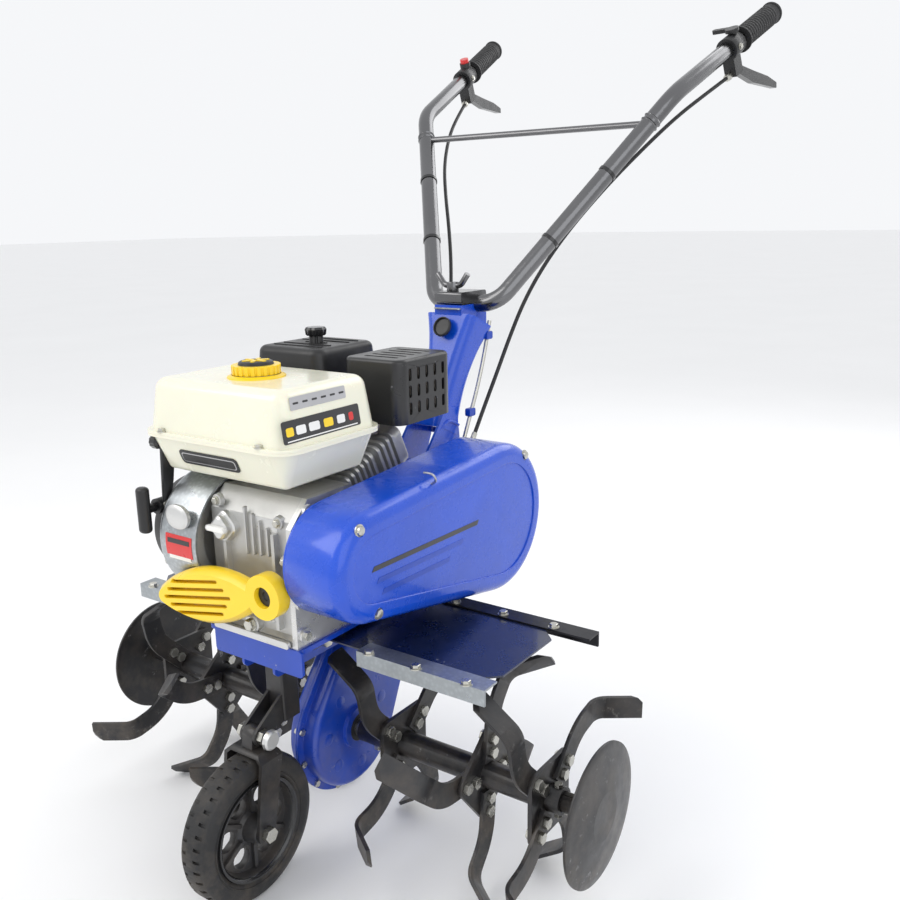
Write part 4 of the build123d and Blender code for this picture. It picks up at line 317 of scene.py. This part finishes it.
NODE_LOOKS = {
    BLUE: "belt_cover column guard_backplate",
    BLUE_DARK: "chain_case_left chain_case_right engine_frame",
    NAVY: "fender_left fender_right",
    BLACK: "wheel_fork wheel_post tine_hub_left tine_hub_right side_disc_left side_disc_right",
    BLACK_EDGE: "tine_blades_left tine_blades_right",
    GALVANISED: "blower_housing",
    STRIP: "fender_strips",
    ZINC: "chassis_bolts tine_fasteners wheel_pins idler_arm",
    STEEL: "output_shaft output_sprocket input_shaft shaft_bearings idler_pulley crankshaft",
    CHROME: "handlebar tee_bolt bar_clamp",
    CAST: "crankcase cylinder_head flywheel carburettor",
    CAST_PALE: "crankcase_cover",
    IRON: "drive_pulley driven_pulley",
    CREAM: "tank_upper tank_lower",
    YELLOW: "fuel_cap front_guard",
    RED: "stop_button",
    RIM: "wheel_rim",
    PLASTIC: "air_cleaner starter_cover starter_grip lever_brackets throttle_lever choke_lever",
    PLASTIC_GLOSS: "forward_lever reverse_lever",
    RUBBER: "handle_grips oil_seals drive_belt control_cables",
    TYRE: "wheel_tyre",
    MUFFLER: "muffler",
    GUARD_BLACK: "muffler_guard",
    CHAIN: "drive_chain",
}
SOFT_EDGE = {"belt_cover": 0.0008, "tank_upper": 0.0008, "tank_lower": 0.0008, "wheel_tyre": 0.0008}
for material, names in NODE_LOOKS.items():
    for name in names.split():
        piece = NODES[name]
        piece.data.materials.clear()
        piece.data.materials.append(material)
        weld = piece.modifiers.new("weld", "WELD")
        weld.merge_threshold = 0.00001
        edge = piece.modifiers.new("edge", "BEVEL")
        edge.width = SOFT_EDGE.get(name, 0.0004)
        edge.segments = 2
        edge.limit_method = "ANGLE"
        edge.angle_limit = radians(38)
        edge.harden_normals = True


# ---------------------------------------------------------------- makers of extra pieces
def place(name, mesh, material, body):
    """Object from a mesh in the row frame, with its material, body and slot."""
    piece = bpy.data.objects.new(name, mesh)
    bpy.context.scene.collection.objects.link(piece)
    if material is not None:
        mesh.materials.clear()
        mesh.materials.append(material)
    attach(piece, body)
    return piece


def smooth(mesh, angle=35):
    """Smooth faces with sharp edges past an angle."""
    grid = bmesh.new()
    grid.from_mesh(mesh)
    bmesh.ops.recalc_face_normals(grid, faces=grid.faces)
    for face in grid.faces:
        face.smooth = True
    for edge in grid.edges:
        edge.smooth = not (edge.is_manifold and edge.calc_face_angle(0) > radians(angle))
    grid.to_mesh(mesh)
    grid.free()


def frame_of(direction, hint=(0, 0, 1)):
    """Two unit vectors square to a direction."""
    w = Vector(direction).normalized()
    h = Vector(hint)
    if abs(w.dot(h)) > 0.95:
        h = Vector((1, 0, 0))
    u = h.cross(w).normalized()
    return u, w.cross(u)


def lathe(name, origin, axis, profile, material, body, steps=40, ribs=0, rib=0.0, hollow=False):
    """Turned piece with an (along, radius) profile in mm. Ribs modulate its radius; a hollow one is a ring."""
    w = Vector(axis).normalized()
    u, v = frame_of(w)
    grid = bmesh.new()
    rings = []
    for along, radius in profile:
        if radius <= 0:
            rings.append([grid.verts.new(origin + w * along * MM)])
            continue
        ring = []
        for step in range(steps):
            angle = tau * step / steps
            r = radius + (rib * (0.5 + 0.5 * cos(ribs * angle)) if ribs else 0)
            ring.append(grid.verts.new(origin + (w * along + (u * cos(angle) + v * sin(angle)) * r) * MM))
        rings.append(ring)
    for before, after in zip(rings, rings[1:] + rings[:1] if hollow else rings[1:]):
        for step in range(steps):
            other = (step + 1) % steps
            corners = {
                (True, True): lambda: (before[step], before[other], after[other], after[step]),
                (False, True): lambda: (before[0], after[other], after[step]),
                (True, False): lambda: (before[step], before[other], after[0]),
            }[(len(before) > 1, len(after) > 1)]()
            grid.faces.new(corners)
    for ring in () if hollow else (rings[0], rings[-1]):
        if len(ring) > 1:
            grid.faces.new(ring)
    mesh = bpy.data.meshes.new(name)
    grid.to_mesh(mesh)
    grid.free()
    smooth(mesh)
    return place(name, mesh, material, body)


def prism(name, origin, across, up, outline, depth, material, body, edge=0.4, segments=2):
    """Plate: an outline in mm in the plane of across and up, thickened along their normal."""
    u, v = Vector(across).normalized(), Vector(up).normalized()
    w = u.cross(v)
    grid = bmesh.new()
    low = [grid.verts.new(origin + (u * x + v * y) * MM) for x, y in outline]
    high = [grid.verts.new(origin + (u * x + v * y + w * depth) * MM) for x, y in outline]
    count = len(outline)
    grid.faces.new(low[::-1])
    grid.faces.new(high)
    for step in range(count):
        grid.faces.new((low[step], low[(step + 1) % count], high[(step + 1) % count], high[step]))
    bmesh.ops.recalc_face_normals(grid, faces=grid.faces)
    if edge:
        bmesh.ops.bevel(
            grid, geom=list(grid.edges), offset=edge * MM, segments=segments, affect="EDGES", profile=0.6,
        )
    mesh = bpy.data.meshes.new(name)
    grid.to_mesh(mesh)
    grid.free()
    smooth(mesh)
    return place(name, mesh, material, body)


def rounded(wide, high, radius, steps=6, at_x=0.0, at_y=0.0):
    """Outline of a rectangle with round corners."""
    points = []
    for cx, cy, start in (
        (wide / 2 - radius, high / 2 - radius, 0),
        (-wide / 2 + radius, high / 2 - radius, 90),
        (-wide / 2 + radius, -high / 2 + radius, 180),
        (wide / 2 - radius, -high / 2 + radius, 270),
    ):
        for step in range(steps + 1):
            angle = radians(start + 90 * step / steps)
            points.append((at_x + cx + radius * cos(angle), at_y + cy + radius * sin(angle)))
    return points


def rod(name, points, radius, material, body, sides=5, order=3, parent=True):
    """Round wire along a smooth curve through control points."""
    data = bpy.data.curves.new(name, "CURVE")
    data.dimensions = "3D"
    data.resolution_u = 10
    data.bevel_depth = radius * MM
    data.bevel_resolution = sides
    data.use_fill_caps = True
    spline = data.splines.new("NURBS")
    spline.points.add(len(points) - 1)
    for point, target in zip(spline.points, points):
        point.co = (*target, 1)
    spline.order_u = order
    spline.use_endpoint_u = True
    holder = bpy.data.objects.new(name + "_curve", data)
    bpy.context.scene.collection.objects.link(holder)
    bpy.context.view_layer.update()
    mesh = bpy.data.meshes.new_from_object(holder.evaluated_get(bpy.context.evaluated_depsgraph_get()))
    bpy.data.objects.remove(holder)
    mesh.name = name
    smooth(mesh, 50)
    if parent:
        return place(name, mesh, material, body)
    piece = bpy.data.objects.new(name, mesh)
    bpy.context.scene.collection.objects.link(piece)
    mesh.materials.clear()
    mesh.materials.append(material)
    return piece


def coil(name, start, end, radius, wire, turns, material, body):
    """Helical spring between two points."""
    axis = end - start
    u, v = frame_of(axis)
    steps = int(turns * 12)
    points = []
    for step in range(steps + 1):
        share = step / steps
        angle = tau * turns * share
        points.append(start + axis * share + (u * cos(angle) + v * sin(angle)) * radius * MM)
    return rod(name, points, wire, material, body, sides=3)


def ring_of(grid, origin, w, u, v, along, radius, count):
    """Ring of corners about the axis w, at a distance along it, in mm."""
    ring = []
    for step in range(count):
        angle = tau * step / count
        ring.append(grid.verts.new(origin + (w * along + (u * cos(angle) + v * sin(angle)) * radius) * MM))
    return ring


def hex_bolt(name, origin, axis, size, material, body, washer=True, height=None):
    """Hexagon head with its chamfer, on a washer. Size is across the flats, in mm."""
    w = Vector(axis).normalized()
    u, v = frame_of(w)
    tall = height or size * 0.42
    grid = bmesh.new()
    start = 0.0
    if washer:
        start = 1.2
        sides = 28
        loops = [ring_of(grid, origin, w, u, v, along, size * 0.72, sides) for along in (0.0, start)]
        for s in range(sides):
            grid.faces.new((loops[0][s], loops[0][(s + 1) % sides], loops[1][(s + 1) % sides], loops[1][s]))
        grid.faces.new(loops[1])
        grid.faces.new(loops[0][::-1])
    corner = size / 2 / cos(pi / 6)
    rings = [(start, corner), (start + tall * 0.86, corner), (start + tall, corner * 0.84)]
    loops = [ring_of(grid, origin, w, u, v, along, radius, 6) for along, radius in rings]
    for low, high in zip(loops, loops[1:]):
        for s in range(6):
            grid.faces.new((low[s], low[(s + 1) % 6], high[(s + 1) % 6], high[s]))
    grid.faces.new(loops[-1])
    grid.faces.new(loops[0][::-1])
    mesh = bpy.data.meshes.new(name)
    grid.to_mesh(mesh)
    grid.free()
    smooth(mesh, 20)
    return place(name, mesh, material, body)


# ---------------------------------------------------------------- stage and light
def add_stage():
    grid = bmesh.new()
    bmesh.ops.create_grid(grid, x_segments=1, y_segments=1, size=40)
    mesh = bpy.data.meshes.new("floor")
    grid.to_mesh(mesh)
    grid.free()
    floor = bpy.data.objects.new("floor", mesh)
    floor.location = (0, 0, -0.0005)
    bpy.context.scene.collection.objects.link(floor)
    mesh.materials.append(
        surface(
            "pale_floor", (0.90, 0.90, 0.90), 0.7, tone=0.01, tone_scale=1.5, bump=0.02, bump_scale=120,
            spread=0.03,
        )
    )
    world = bpy.data.worlds.new("world")
    bpy.context.scene.world = world
    world.use_nodes = True
    background = world.node_tree.nodes["Background"]
    background.inputs["Color"].default_value = (0.97, 0.98, 1.0, 1)
    background.inputs["Strength"].default_value = 0.95
    for name, spot, size, power, tint in (
        ("key", (-1100, -1500, 2200), 1.7, 23, (1.0, 0.98, 0.95)),
        ("fill", (1900, -900, 1300), 1.9, 10, (0.95, 0.97, 1.0)),
        ("back", (500, 2300, 2000), 1.6, 16, (1, 1, 1)),
    ):
        data = bpy.data.lights.new(name, "AREA")
        data.size, data.energy, data.color = size, power, tint
        light = bpy.data.objects.new(name, data)
        bpy.context.scene.collection.objects.link(light)
        light.location = at(*spot)
        light.rotation_euler = (at(0, 150, 450) - light.location).to_track_quat("-Z", "Y").to_euler()


add_stage()
scene = bpy.context.scene
scene.view_settings.view_transform = "Standard"
scene.view_settings.look = "None"

# ---------------------------------------------------------------- tank, cap and labels
X, Y, Z = Vector((1, 0, 0)), Vector((0, 1, 0)), Vector((0, 0, 1))
TANK_SIDE, TANK_FACE = 77.0, -160.0  # the upper half's side and front where it leaves the seam
DRAFT = tan(radians(9))


def on_side(y, z):
    """Point on the tank's drafted side, above the seam."""
    return at(TANK_SIDE - (z - 581) * DRAFT + 0.15, y, z)


LABEL_GREY = surface("label_grey", (0.42, 0.42, 0.43), 0.4, tone=0.08, coat=0.3)
LABEL_BLACK = surface("label_black", (0.02, 0.02, 0.022), 0.35, tone=0.15, coat=0.3)
LABEL_WHITE = surface("label_white", (0.8, 0.8, 0.78), 0.4, tone=0.05, coat=0.3)
side_up = Vector((-DRAFT, 0, 1)).normalized()


def side_label(name, y, z, outline, material, lift=0.0, depth=0.4):
    spot = on_side(y, z) + Vector((lift * MM, 0, 0))
    prism(name, spot, Y, side_up, outline, depth, material, "chassis", edge=0.12, segments=1)


side_label("tank_label_low", -92, 600, rounded(132, 26, 3), LABEL_BLACK)
side_label("tank_label_high", -92, 630, rounded(94, 15, 2), LABEL_GREY)
for step in range(6):
    side_label(
        f"tank_label_high_mark_{step}", -130 + step * 15.5, 630, rounded(9, 2.4, 1.1), LABEL_BLACK, 0.35,
        0.25,
    )
for step, (spot, wide, paint) in enumerate(
    (
        (-146, 12, YELLOW), (-128, 16, LABEL_WHITE), (-106, 18, LABEL_WHITE), (-82, 16, YELLOW),
        (-60, 14, LABEL_WHITE), (-42, 8, RED),
    )
):
    side_label(f"tank_label_low_mark_{step}", spot, 600, rounded(wide, 10, 2.4), paint, 0.35, 0.25)
side_label("tank_label_low_line", -92, 589.6, rounded(120, 1.4, 0.6), LABEL_WHITE, 0.35, 0.25)

LOW_DRAFT = tan(radians(22))
face_up = Vector((0, -LOW_DRAFT, 1)).normalized()
panel = at(-58, TANK_FACE + (574 - 551) * LOW_DRAFT - 0.3, 551)
prism("tank_panel", panel, X, face_up, rounded(102, 20, 6), 0.9, PLASTIC, "chassis", edge=0.3)
prism(
    "tank_panel_rim", panel, X, face_up, rounded(94, 13, 4), 1.3, LABEL_GREY, "chassis",
    edge=0.2,
)
prism(
    "tank_panel_field", panel, X, face_up, rounded(91, 10.5, 3), 1.7, PLASTIC, "chassis",
    edge=0.2,
)
for spot in (-128, 40):
    hex_bolt(f"tank_screw_{int(spot > 0)}", at(spot, -162, 581), Z, 8, ZINC, "chassis", washer=True)

cap = at(-40, -82, 645 + 15.2 + 3)
lathe(
    "cap_centre", cap - Z * 0.003, Z, ((0, 22), (3.1, 21), (4.3, 19), (4.3, 7), (3.2, 5), (3.2, 0)),
    PLASTIC, "fuel_cap",
)
for step in range(3):
    angle = step * pi / 3
    u = Vector((cos(angle), sin(angle), 0))
    prism(
        f"cap_bar_{step}", cap, u, Z.cross(u), rounded(34, 5, 2), 2.6, YELLOW, "fuel_cap",
        edge=0.8,
    )
lathe(
    "filler_neck", at(-40, -82, 645), Z,
    ((0, 36), (1.6, 35.5), (3.0, 32), (3.6, 31), (3.6, 30.3), (0, 30.3)), YELLOW, "chassis",
    hollow=True,
)

# ---------------------------------------------------------------- air cleaner and carburettor
lathe(
    "air_knob", at(-104, 96, 672), Z, ((0, 11), (2, 13), (9, 14), (12, 12), (12.6, 0)), PLASTIC_GLOSS,
    "chassis",
    steps=72, ribs=9, rib=1.6,
)
for step in range(5):
    prism(
        f"air_rib_{step}", at(-104, 58 + 19 * step, 661.9), X, Y,
        rounded(88 if step != 2 else 40, 4.5, 2, at_x=0 if step != 2 else 0), 1.6,
        PLASTIC, "chassis", edge=0.6,
    )
for hand in (1, -1):
    prism(
        f"air_latch_{int(hand > 0)}", at(-104 + hand * 64.5, 96, 606), Y, Z, rounded(26, 20, 3), 3.0 * hand,
        PLASTIC_GLOSS, "chassis",
        edge=0.8,
    )
lathe(
    "carb_bowl_nut", at(-98, 62, 513), -Z, ((0, 7), (5, 7), (6, 5), (6, 0)), ZINC, "chassis",
    steps=6,
)
lathe(
    "carb_screw", at(-104, 40, 545), -Y, ((0, 3.4), (1, 4), (9, 4), (10, 3), (10, 0)), ZINC, "chassis",
    ribs=10, rib=0.5,
)
lathe(
    "throttle_stop", at(-86, 40, 552), -Y, ((0, 4.4), (6, 4.4), (7, 3), (7, 0)), STEEL, "chassis",
)
rod(
    "fuel_hose",
    [at(-60, -10, 534), at(-60, 10, 520), at(-76, 30, 516), at(-90, 38, 520), at(-98, 42, 522)], 3.6,
    RUBBER, "chassis",
)
coil("fuel_hose_clip", at(-95, 40.5, 521), at(-98, 42, 522), 4.6, 0.8, 2, ZINC, "chassis")

# Throttle plate, governor rod and spring beside the blower.
prism(
    "control_plate", at(-150, -92, 536), Y, Z, [
        (-42, -10), (38, -10), (44, 4), (20, 16), (-30, 16), (-42, 6),
    ], 2.0, GALVANISED, "chassis"
)
for step, (y, z) in enumerate(((-124, 530), (-66, 534))):
    hex_bolt(f"control_screw_{step}", at(-148, y, z), -X, 7, ZINC, "chassis")
prism(
    "control_arm", at(-152.5, -92, 538), Y, Z, rounded(60, 7, 3, at_x=-14), 1.6, PLASTIC, "chassis",
)
prism(
    "governor_arm", at(-146, -30, 520), Y, Z, [(-5, -40), (4, -42), (6, 30), (0, 44), (-5, 40)], 2.0, ZINC,
    "chassis",
)
coil("governor_spring", at(-149, -112, 541), at(-149, -34, 556), 3.2, 0.5, 16, STEEL, "chassis")
rod(
    "governor_rod", [at(-149, -30, 558), at(-147, 0, 562), at(-130, 30, 556), at(-121, 44, 552)], 1.1, ZINC,
    "chassis",
)
prism(
    "lever_black", at(-151, -140, 520), Y, Z,
    [(-14, -34), (-4, -40), (4, -8), (10, 30), (2, 48), (-10, 44), (-12, 4)], 5.0, PLASTIC, "chassis",
    edge=1.2,
)
lathe(
    "lever_knob", at(-152, -146, 562), -X, ((0, 6), (3, 9), (12, 9), (15, 6), (15, 0)), PLASTIC_GLOSS,
    "chassis", ribs=12, rib=0.8,
)

# Spark plug, boot and lead on the cylinder head.
TILT = radians(25)
bore = Vector((0, cos(TILT), sin(TILT)))
plug = at(-20, -88 + 216 * cos(TILT), 440 + 216 * sin(TILT))
lathe("plug_body", plug, bore, ((0, 9), (6, 9), (6, 6.5), (10, 6.5)), ZINC, "chassis", steps=6)
lathe(
    "plug_ceramic", plug + bore * 0.010, bore, ((0, 5), (12, 4.6), (12, 0)), LABEL_WHITE, "chassis",
)
lathe(
    "plug_boot", plug + bore * 0.014, bore, ((0, 8.6), (3, 9.4), (18, 8.4), (24, 6), (26, 0)), RUBBER,
    "chassis",
)
tip = plug + bore * 0.036
rod(
    "plug_lead",
    [
        tip, tip + bore * 0.012, tip + Vector((-0.03, 0.006, 0.005)), at(-66, 60, 560), at(-70, 10, 516),
        at(-78, -20, 506),
    ],
    3.4, RUBBER, "chassis",
)

# ---------------------------------------------------------------- crankcase front, blower and starter
front = -142.0
lathe(
    "oil_plug_oval", at(-98, -170.5, 480), -Y, ((0, 0), (0, 15), (5, 15.5), (7, 13), (8, 9), (8.5, 0)),
    CAST_PALE, "chassis", ribs=2, rib=5.0,
)
lathe(
    "oil_filler", at(-44, front, 470), -Y,
    ((-2, 17), (7, 17), (9, 15), (9, 13), (15, 12.5), (17, 10), (17, 0)), CAST_PALE, "chassis",
    steps=64, ribs=4, rib=2.6,
)
prism(
    "filler_bar", at(-44, front - 16, 470), X, Z, rounded(34, 7, 3), 6.0, LABEL_WHITE, "chassis",
    edge=1.4,
)
lathe(
    "drain_boss", at(-6, -146, 352), -Y, ((-4, 13), (4, 12), (5, 10), (5, 0)), CAST, "chassis",
)
hex_bolt("drain_plug", at(-6, -151, 352), -Y, 13, ZINC, "chassis")
for step, (x, z) in enumerate(((-62, 362), (24, 366), (52, 442), (-58, 500), (44, 488))):
    lathe(
        f"front_boss_{step}", at(x, front, z), -Y, ((-3, 8.5), (3, 7.5), (3.6, 6), (3.6, 0)), CAST,
        "chassis",
    )
    hex_bolt(f"front_screw_{step}", at(x, front - 3.4, z), -Y, 8, ZINC, "chassis")
for step in range(4):
    prism(
        f"front_rib_{step}", at(-10 + 12 * step, front + 0.5, 470 - 3 * step), X, Z,
        rounded(3.2, 60 - 8 * step, 1.5), 5.0, CAST, "chassis",
        edge=0.8,
    )
prism(
    "serial_plate", at(22, front + 0.2, 502 - 20), X, Z, rounded(38, 16, 2), 0.8, CAST_PALE, "chassis",
    edge=0.2,
)
prism(
    "engine_foot_rail", at(-6, -149.5, 339), X, Z, rounded(128, 9, 3), 5.0, CAST_PALE, "chassis",
    edge=1.0,
)

shroud = (-88.0, 440.0)
for step in range(6):
    angle = radians(25 + 60 * step)
    spot = at(-145.6, shroud[0] + 74 * cos(angle), shroud[1] + 74 * sin(angle))
    hex_bolt(f"blower_screw_{step}", spot, -X, 8, ZINC, "chassis")
for step in range(3):
    angle = radians(20 + 120 * step)
    spot = at(-147, shroud[0] + 66 * cos(angle), shroud[1] + 66 * sin(angle))
    prism(
        f"starter_lug_{step}", spot, Y, -Z, rounded(15, 15, 6), 5.0, PLASTIC, "chassis",
        edge=0.8,
    )
    hex_bolt(f"starter_screw_{step}", spot - X * 0.005, -X, 7, ZINC, "chassis")
lathe(
    "starter_hub", at(-177.5, *shroud), -X, ((0, 22), (1.6, 21), (2.2, 18), (2.2, 0)), PLASTIC_GLOSS,
    "chassis",
)


def round_label(name, x, turn, wide, high, material, lift):
    """Label bent round the blower's rim: x is its middle, turn its angle about the crankshaft."""
    grid = bmesh.new()
    radius = 83.3 + lift
    rows = []
    for step in range(13):
        angle = turn + (step / 12 - 0.5) * high / radius
        row = []
        for side_step in (-0.5, 0.5):
            for r in (radius, radius + 0.35):
                row.append(
                    grid.verts.new(at(
                        x + side_step * wide, shroud[0] + r * cos(angle), shroud[1] + r * sin(angle),
                    ))
                )
        rows.append(row)
    for a, b in zip(rows, rows[1:]):
        for i, j in ((0, 1), (1, 3), (3, 2), (2, 0)):
            grid.faces.new((a[i], a[j], b[j], b[i]))
    for row in (rows[0], rows[-1]):
        grid.faces.new((row[0], row[1], row[3], row[2]))
    mesh = bpy.data.meshes.new(name)
    grid.to_mesh(mesh)
    grid.free()
    smooth(mesh, 50)
    place(name, mesh, material, "chassis")


round_label("blower_label", -104, radians(180), 48, 28, RED, 0.0)
round_label("blower_label_bar", -104, radians(176), 40, 6, LABEL_BLACK, 0.4)
round_label("blower_label_low", -104, radians(191), 40, 5, LABEL_WHITE, 0.4)

# The starter rope runs straight from the housing to the grip.
rope_end, rope_exit = at(-162, -164, 478), at(-162, -128, 478)
rope_route = [rope_exit.lerp(rope_end, step / 24) for step in range(25)]
rope = rod("starter_rope", rope_route, 2.0, LABEL_WHITE, "chassis", parent=False)
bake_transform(rope)

# ---------------------------------------------------------------- belt cover
cover = 165.2
for step, (low, high, rise) in enumerate(((-120, 96, 0), (-112, 60, -16), (-104, 30, -32))):
    prism(
        f"cover_stripe_{step}", at(cover - 2.0, 0, 446 + rise), Y, Z,
        [(low, -3), (high, -3 - (high - low) * 0.02), (high + 4, 3 - (high - low) * 0.02), (low + 4, 3)],
        0.5,
        BLUE_DARK if step else LABEL_BLACK, "chassis", edge=0.15, segments=1,
    )
for step, (y, z) in enumerate(((-138, 498), (-112, 391), (217.6, 505.9))):
    lathe(
        f"cover_screw_{step}", at(cover - 3, y, z), X,
        ((0, 7.5), (1.2, 7.5), (1.4, 5.6), (4.6, 5.2), (5.2, 4), (5.2, 0)), ZINC, "chassis",
    )
rod(
    "cover_catch",
    [
        at(cover - 6, 2, 516), at(cover + 2, 2, 520), at(cover + 3, -2, 528), at(cover - 3, -4, 532),
        at(cover - 12, -4, 531),
    ],
    1.5,
    STEEL, "chassis",
)
# ---------------------------------------------------------------- front guard
lathe(
    "guard_eye_plug", at(55, -176.2, 412), -Y,
    ((0, 12.6), (4, 12.6), (5, 11.4), (5, 6), (3.4, 5), (3.4, 0)), PLASTIC, "chassis",
)
# ---------------------------------------------------------------- column, clamp and cables
for hand in (1, -1):
    rod(
        f"column_weld_{int(hand > 0)}",
        [
            at(hand * 26, 205, 528), at(hand * 29, 222, 540), at(hand * 30, 238, 536),
            at(hand * 29, 252, 528),
        ],
        2.2,
        BLUE, "chassis",
    )
prism(
    "column_plate", at(0, 276, 697), X, Y, rounded(46, 20, 4), 2.4, GALVANISED, "chassis",
    edge=0.6,
)
lathe(
    "column_opening", at(0, 258, 672), Vector((0, -1, 0.42)),
    ((0, 15), (3.4, 15), (4.4, 13), (1.2, 12), (1.2, 0)), PLASTIC, "chassis",
)
hex_bolt("column_bolt", at(28, 292, 650), X, 13, ZINC, "chassis")
hex_bolt("column_bolt_far", at(-28, 292, 650), -X, 13, ZINC, "chassis")
rod(
    "shift_rod", [at(36, 330, 676), at(37, 318, 640), at(38, 292, 580), at(38, 268, 536), at(40, 246, 500)],
    3.0, ZINC, "chassis",
)
for step, (y, z) in enumerate(((322, 655), (272, 545))):
    prism(
        f"rod_clip_{step}", at(33, y, z), Y, Z, rounded(16, 12, 3), 9.0, BLUE_DARK, "chassis",
        edge=1.0,
    )

CABLES = {
    "forward_cable": [
        (257.0, 713.0, 1043.0), (240.0, 655.0, 1012.0), (218.0, 592.0, 975.0), (190.0, 535.0, 928.0),
        (155.0, 480.0, 872.0),
        (118.0, 436.0, 812.0), (88.0, 408.0, 758.0), (66.0, 384.0, 704.0), (54.0, 360.0, 650.0),
        (46.0, 334.0, 596.0),
        (44.0, 300.0, 548.0), (50.0, 262.0, 512.0),
    ],
    "reverse_cable": [
        (-257.0, 713.0, 1043.0), (-243.0, 656.0, 1006.0), (-222.0, 600.0, 966.0), (-190.0, 540.0, 916.0),
        (-150.0, 486.0, 864.0),
        (-112.0, 440.0, 810.0), (-84.0, 404.0, 752.0), (-66.0, 374.0, 696.0), (-56.0, 344.0, 640.0),
        (-50.0, 310.0, 588.0),
        (-46.0, 274.0, 542.0),
    ],
}
for name, route in CABLES.items():
    piece = rod(name, [at(*point) for point in route], 3.0, RUBBER, "chassis", parent=False)
    if name == "forward_cable":
        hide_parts("control_cables")
    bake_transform(piece)
    end, before = at(*route[-1]), at(*route[-2])
    along = (end - before).normalized()
    lathe(
        name + "_ferrule", end - along * 0.004, along,
        ((0, 4.2), (14, 4.2), (15, 3.6), (15, 1.4), (24, 1.4), (24, 0)), ZINC, "chassis",
    )
    coil(name + "_spring", end + along * 0.019, end + along * 0.045, 4.2, 0.7, 8, STEEL, "chassis")
    top_end, after = at(*route[0]), at(*route[1])
    out = (top_end - after).normalized()
    lathe(
        name + "_adjuster", top_end - out * 0.012, out,
        ((0, 4.4), (3, 5.6), (10, 5.6), (12, 4.4), (18, 4.4), (18, 3), (26, 3), (26, 0)), ZINC,
        "handlebar", ribs=12, rib=0.5,
    )


def bar_share(hand, share):
    """Point on one arm of the handlebar, from its bend (0) to its end (1), and the arm's direction."""
    bend, end = at(hand * 232, 545, 1003), at(hand * 277, 842, 1152)
    return bend.lerp(end, share), (end - bend).normalized()


def low_share(hand, share):
    """Point on the lower run of one arm, from its corner (0) to its bend (1), and the run's direction."""
    low, bend = at(hand * 56, 318, 703), at(hand * 232, 545, 1003)
    return low.lerp(bend, share), (bend - low).normalized()


for hand in (1, -1):
    label = "near" if hand > 0 else "far"
    for step, share in enumerate((0.30, 0.62)):
        spot, way = low_share(hand, share)
        lathe(
            f"cable_tie_{label}_{step}", spot - way * 0.0025, way,
            ((0, 13.15), (0, 14.3), (5, 14.3), (5, 13.15)), PLASTIC_GLOSS, "handlebar",
            hollow=True,
        )
    spot, way = low_share(hand, 0.865)
    for turn in (-1, 1):
        lathe(
            f"cross_weld_{label}_{turn + 1}", spot + way * 0.004 * turn, way,
            ((-2, 13.1), (0, 14.6), (2, 13.1)), CHROME, "handlebar", hollow=True,
        )
    grip, way = bar_share(hand, 1.0)
    for step in range(13):
        lathe(
            f"grip_ring_{label}_{step}", grip - way * (0.016 + 0.0072 * step), way,
            ((-1.7, 16.9), (-0.9, 18.0), (0.9, 18.0), (1.7, 16.9)), RUBBER,
            "handlebar", steps=32, hollow=True,
        )
    lathe(
        f"grip_end_{label}", grip + way * 0.002, way, ((0, 17.9), (1.4, 18.6), (2.9, 17), (2.9, 0)), RUBBER,
        "handlebar",
    )
    clamp, way = bar_share(hand, 1 - 152 / 335.3)
    u, v = frame_of(way)
    down = v if v.z < 0 else -v
    hex_bolt(f"bracket_screw_{label}", clamp + u * 0.0175, u, 7, ZINC, "handlebar")
    hex_bolt(f"bracket_nut_{label}", clamp - u * 0.0175, -u, 7, ZINC, "handlebar")
    lathe(
        f"lever_pivot_{label}", clamp + down * 0.036 + u * 0.0095, u,
        ((0, 5.4), (2.5, 5), (3.2, 3.6), (3.2, 0)), ZINC, "handlebar",
    )

# ---------------------------------------------------------------- wheel, fork and fenders
for hand in (1, -1):
    label = "near" if hand > 0 else "far"
    lathe(
        f"rim_bead_{label}", at(hand * 17.2, -185, 95), X * hand,
        ((0, 60), (2.2, 61), (3.6, 63), (3.6, 65.6), (1.0, 66.6)), PLASTIC_GLOSS, "wheel",
        steps=72, hollow=True,
    )
    for step in range(6):
        angle = radians(30 + 60 * step)
        spoke = Vector((0, cos(angle), sin(angle)))
        prism(
            f"rim_rib_{label}_{step}", at(hand * 4.6, -185, 95) + spoke * 0.040, spoke,
            (X * hand).cross(spoke), rounded(36, 6, 2.5), 5.0, RIM,
            "wheel", edge=1.0,
        )
    for step, radius in enumerate((72, 78)):
        lathe(
            f"tyre_line_{label}_{step}", at(hand * (21.2 - 0.2 * step), -185, 95), X * hand,
            ((-1, radius - 1.2), (0.75, radius - 0.5), (0.75, radius + 0.5), (-1, radius + 1.2)), TYRE,
            "wheel", steps=90, hollow=True,
        )
lathe(
    "fork_boss", at(27, -165, 212), X, ((0, 13), (4, 12.4), (6, 10), (6, 0)), CAST_PALE, "wheel_fork",
)
for step in range(7):
    angle = radians(20 + step * 51.4)
    lathe(
        f"case_dimple_{step}", at(23.2, 58 * cos(angle), 150.8 + 58 * sin(angle)), X,
        ((0, 9), (1.2, 8.2), (1.9, 6), (1.9, 0)), BLUE_DARK, "chassis",
    )
for hand in (1, -1):
    label = "near" if hand > 0 else "far"
    for step, (x, y) in enumerate(((130, -92), (200, -92), (270, -92), (130, 92), (205, 92), (280, 92))):
        low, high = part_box("fender_strips")
        hex_bolt(
            f"strip_bolt_{label}_{step}", Vector((hand * x * MM, at(0, y, 0).y, high.z - 0.0002)), Z, 10,
            ZINC, "chassis",
        )
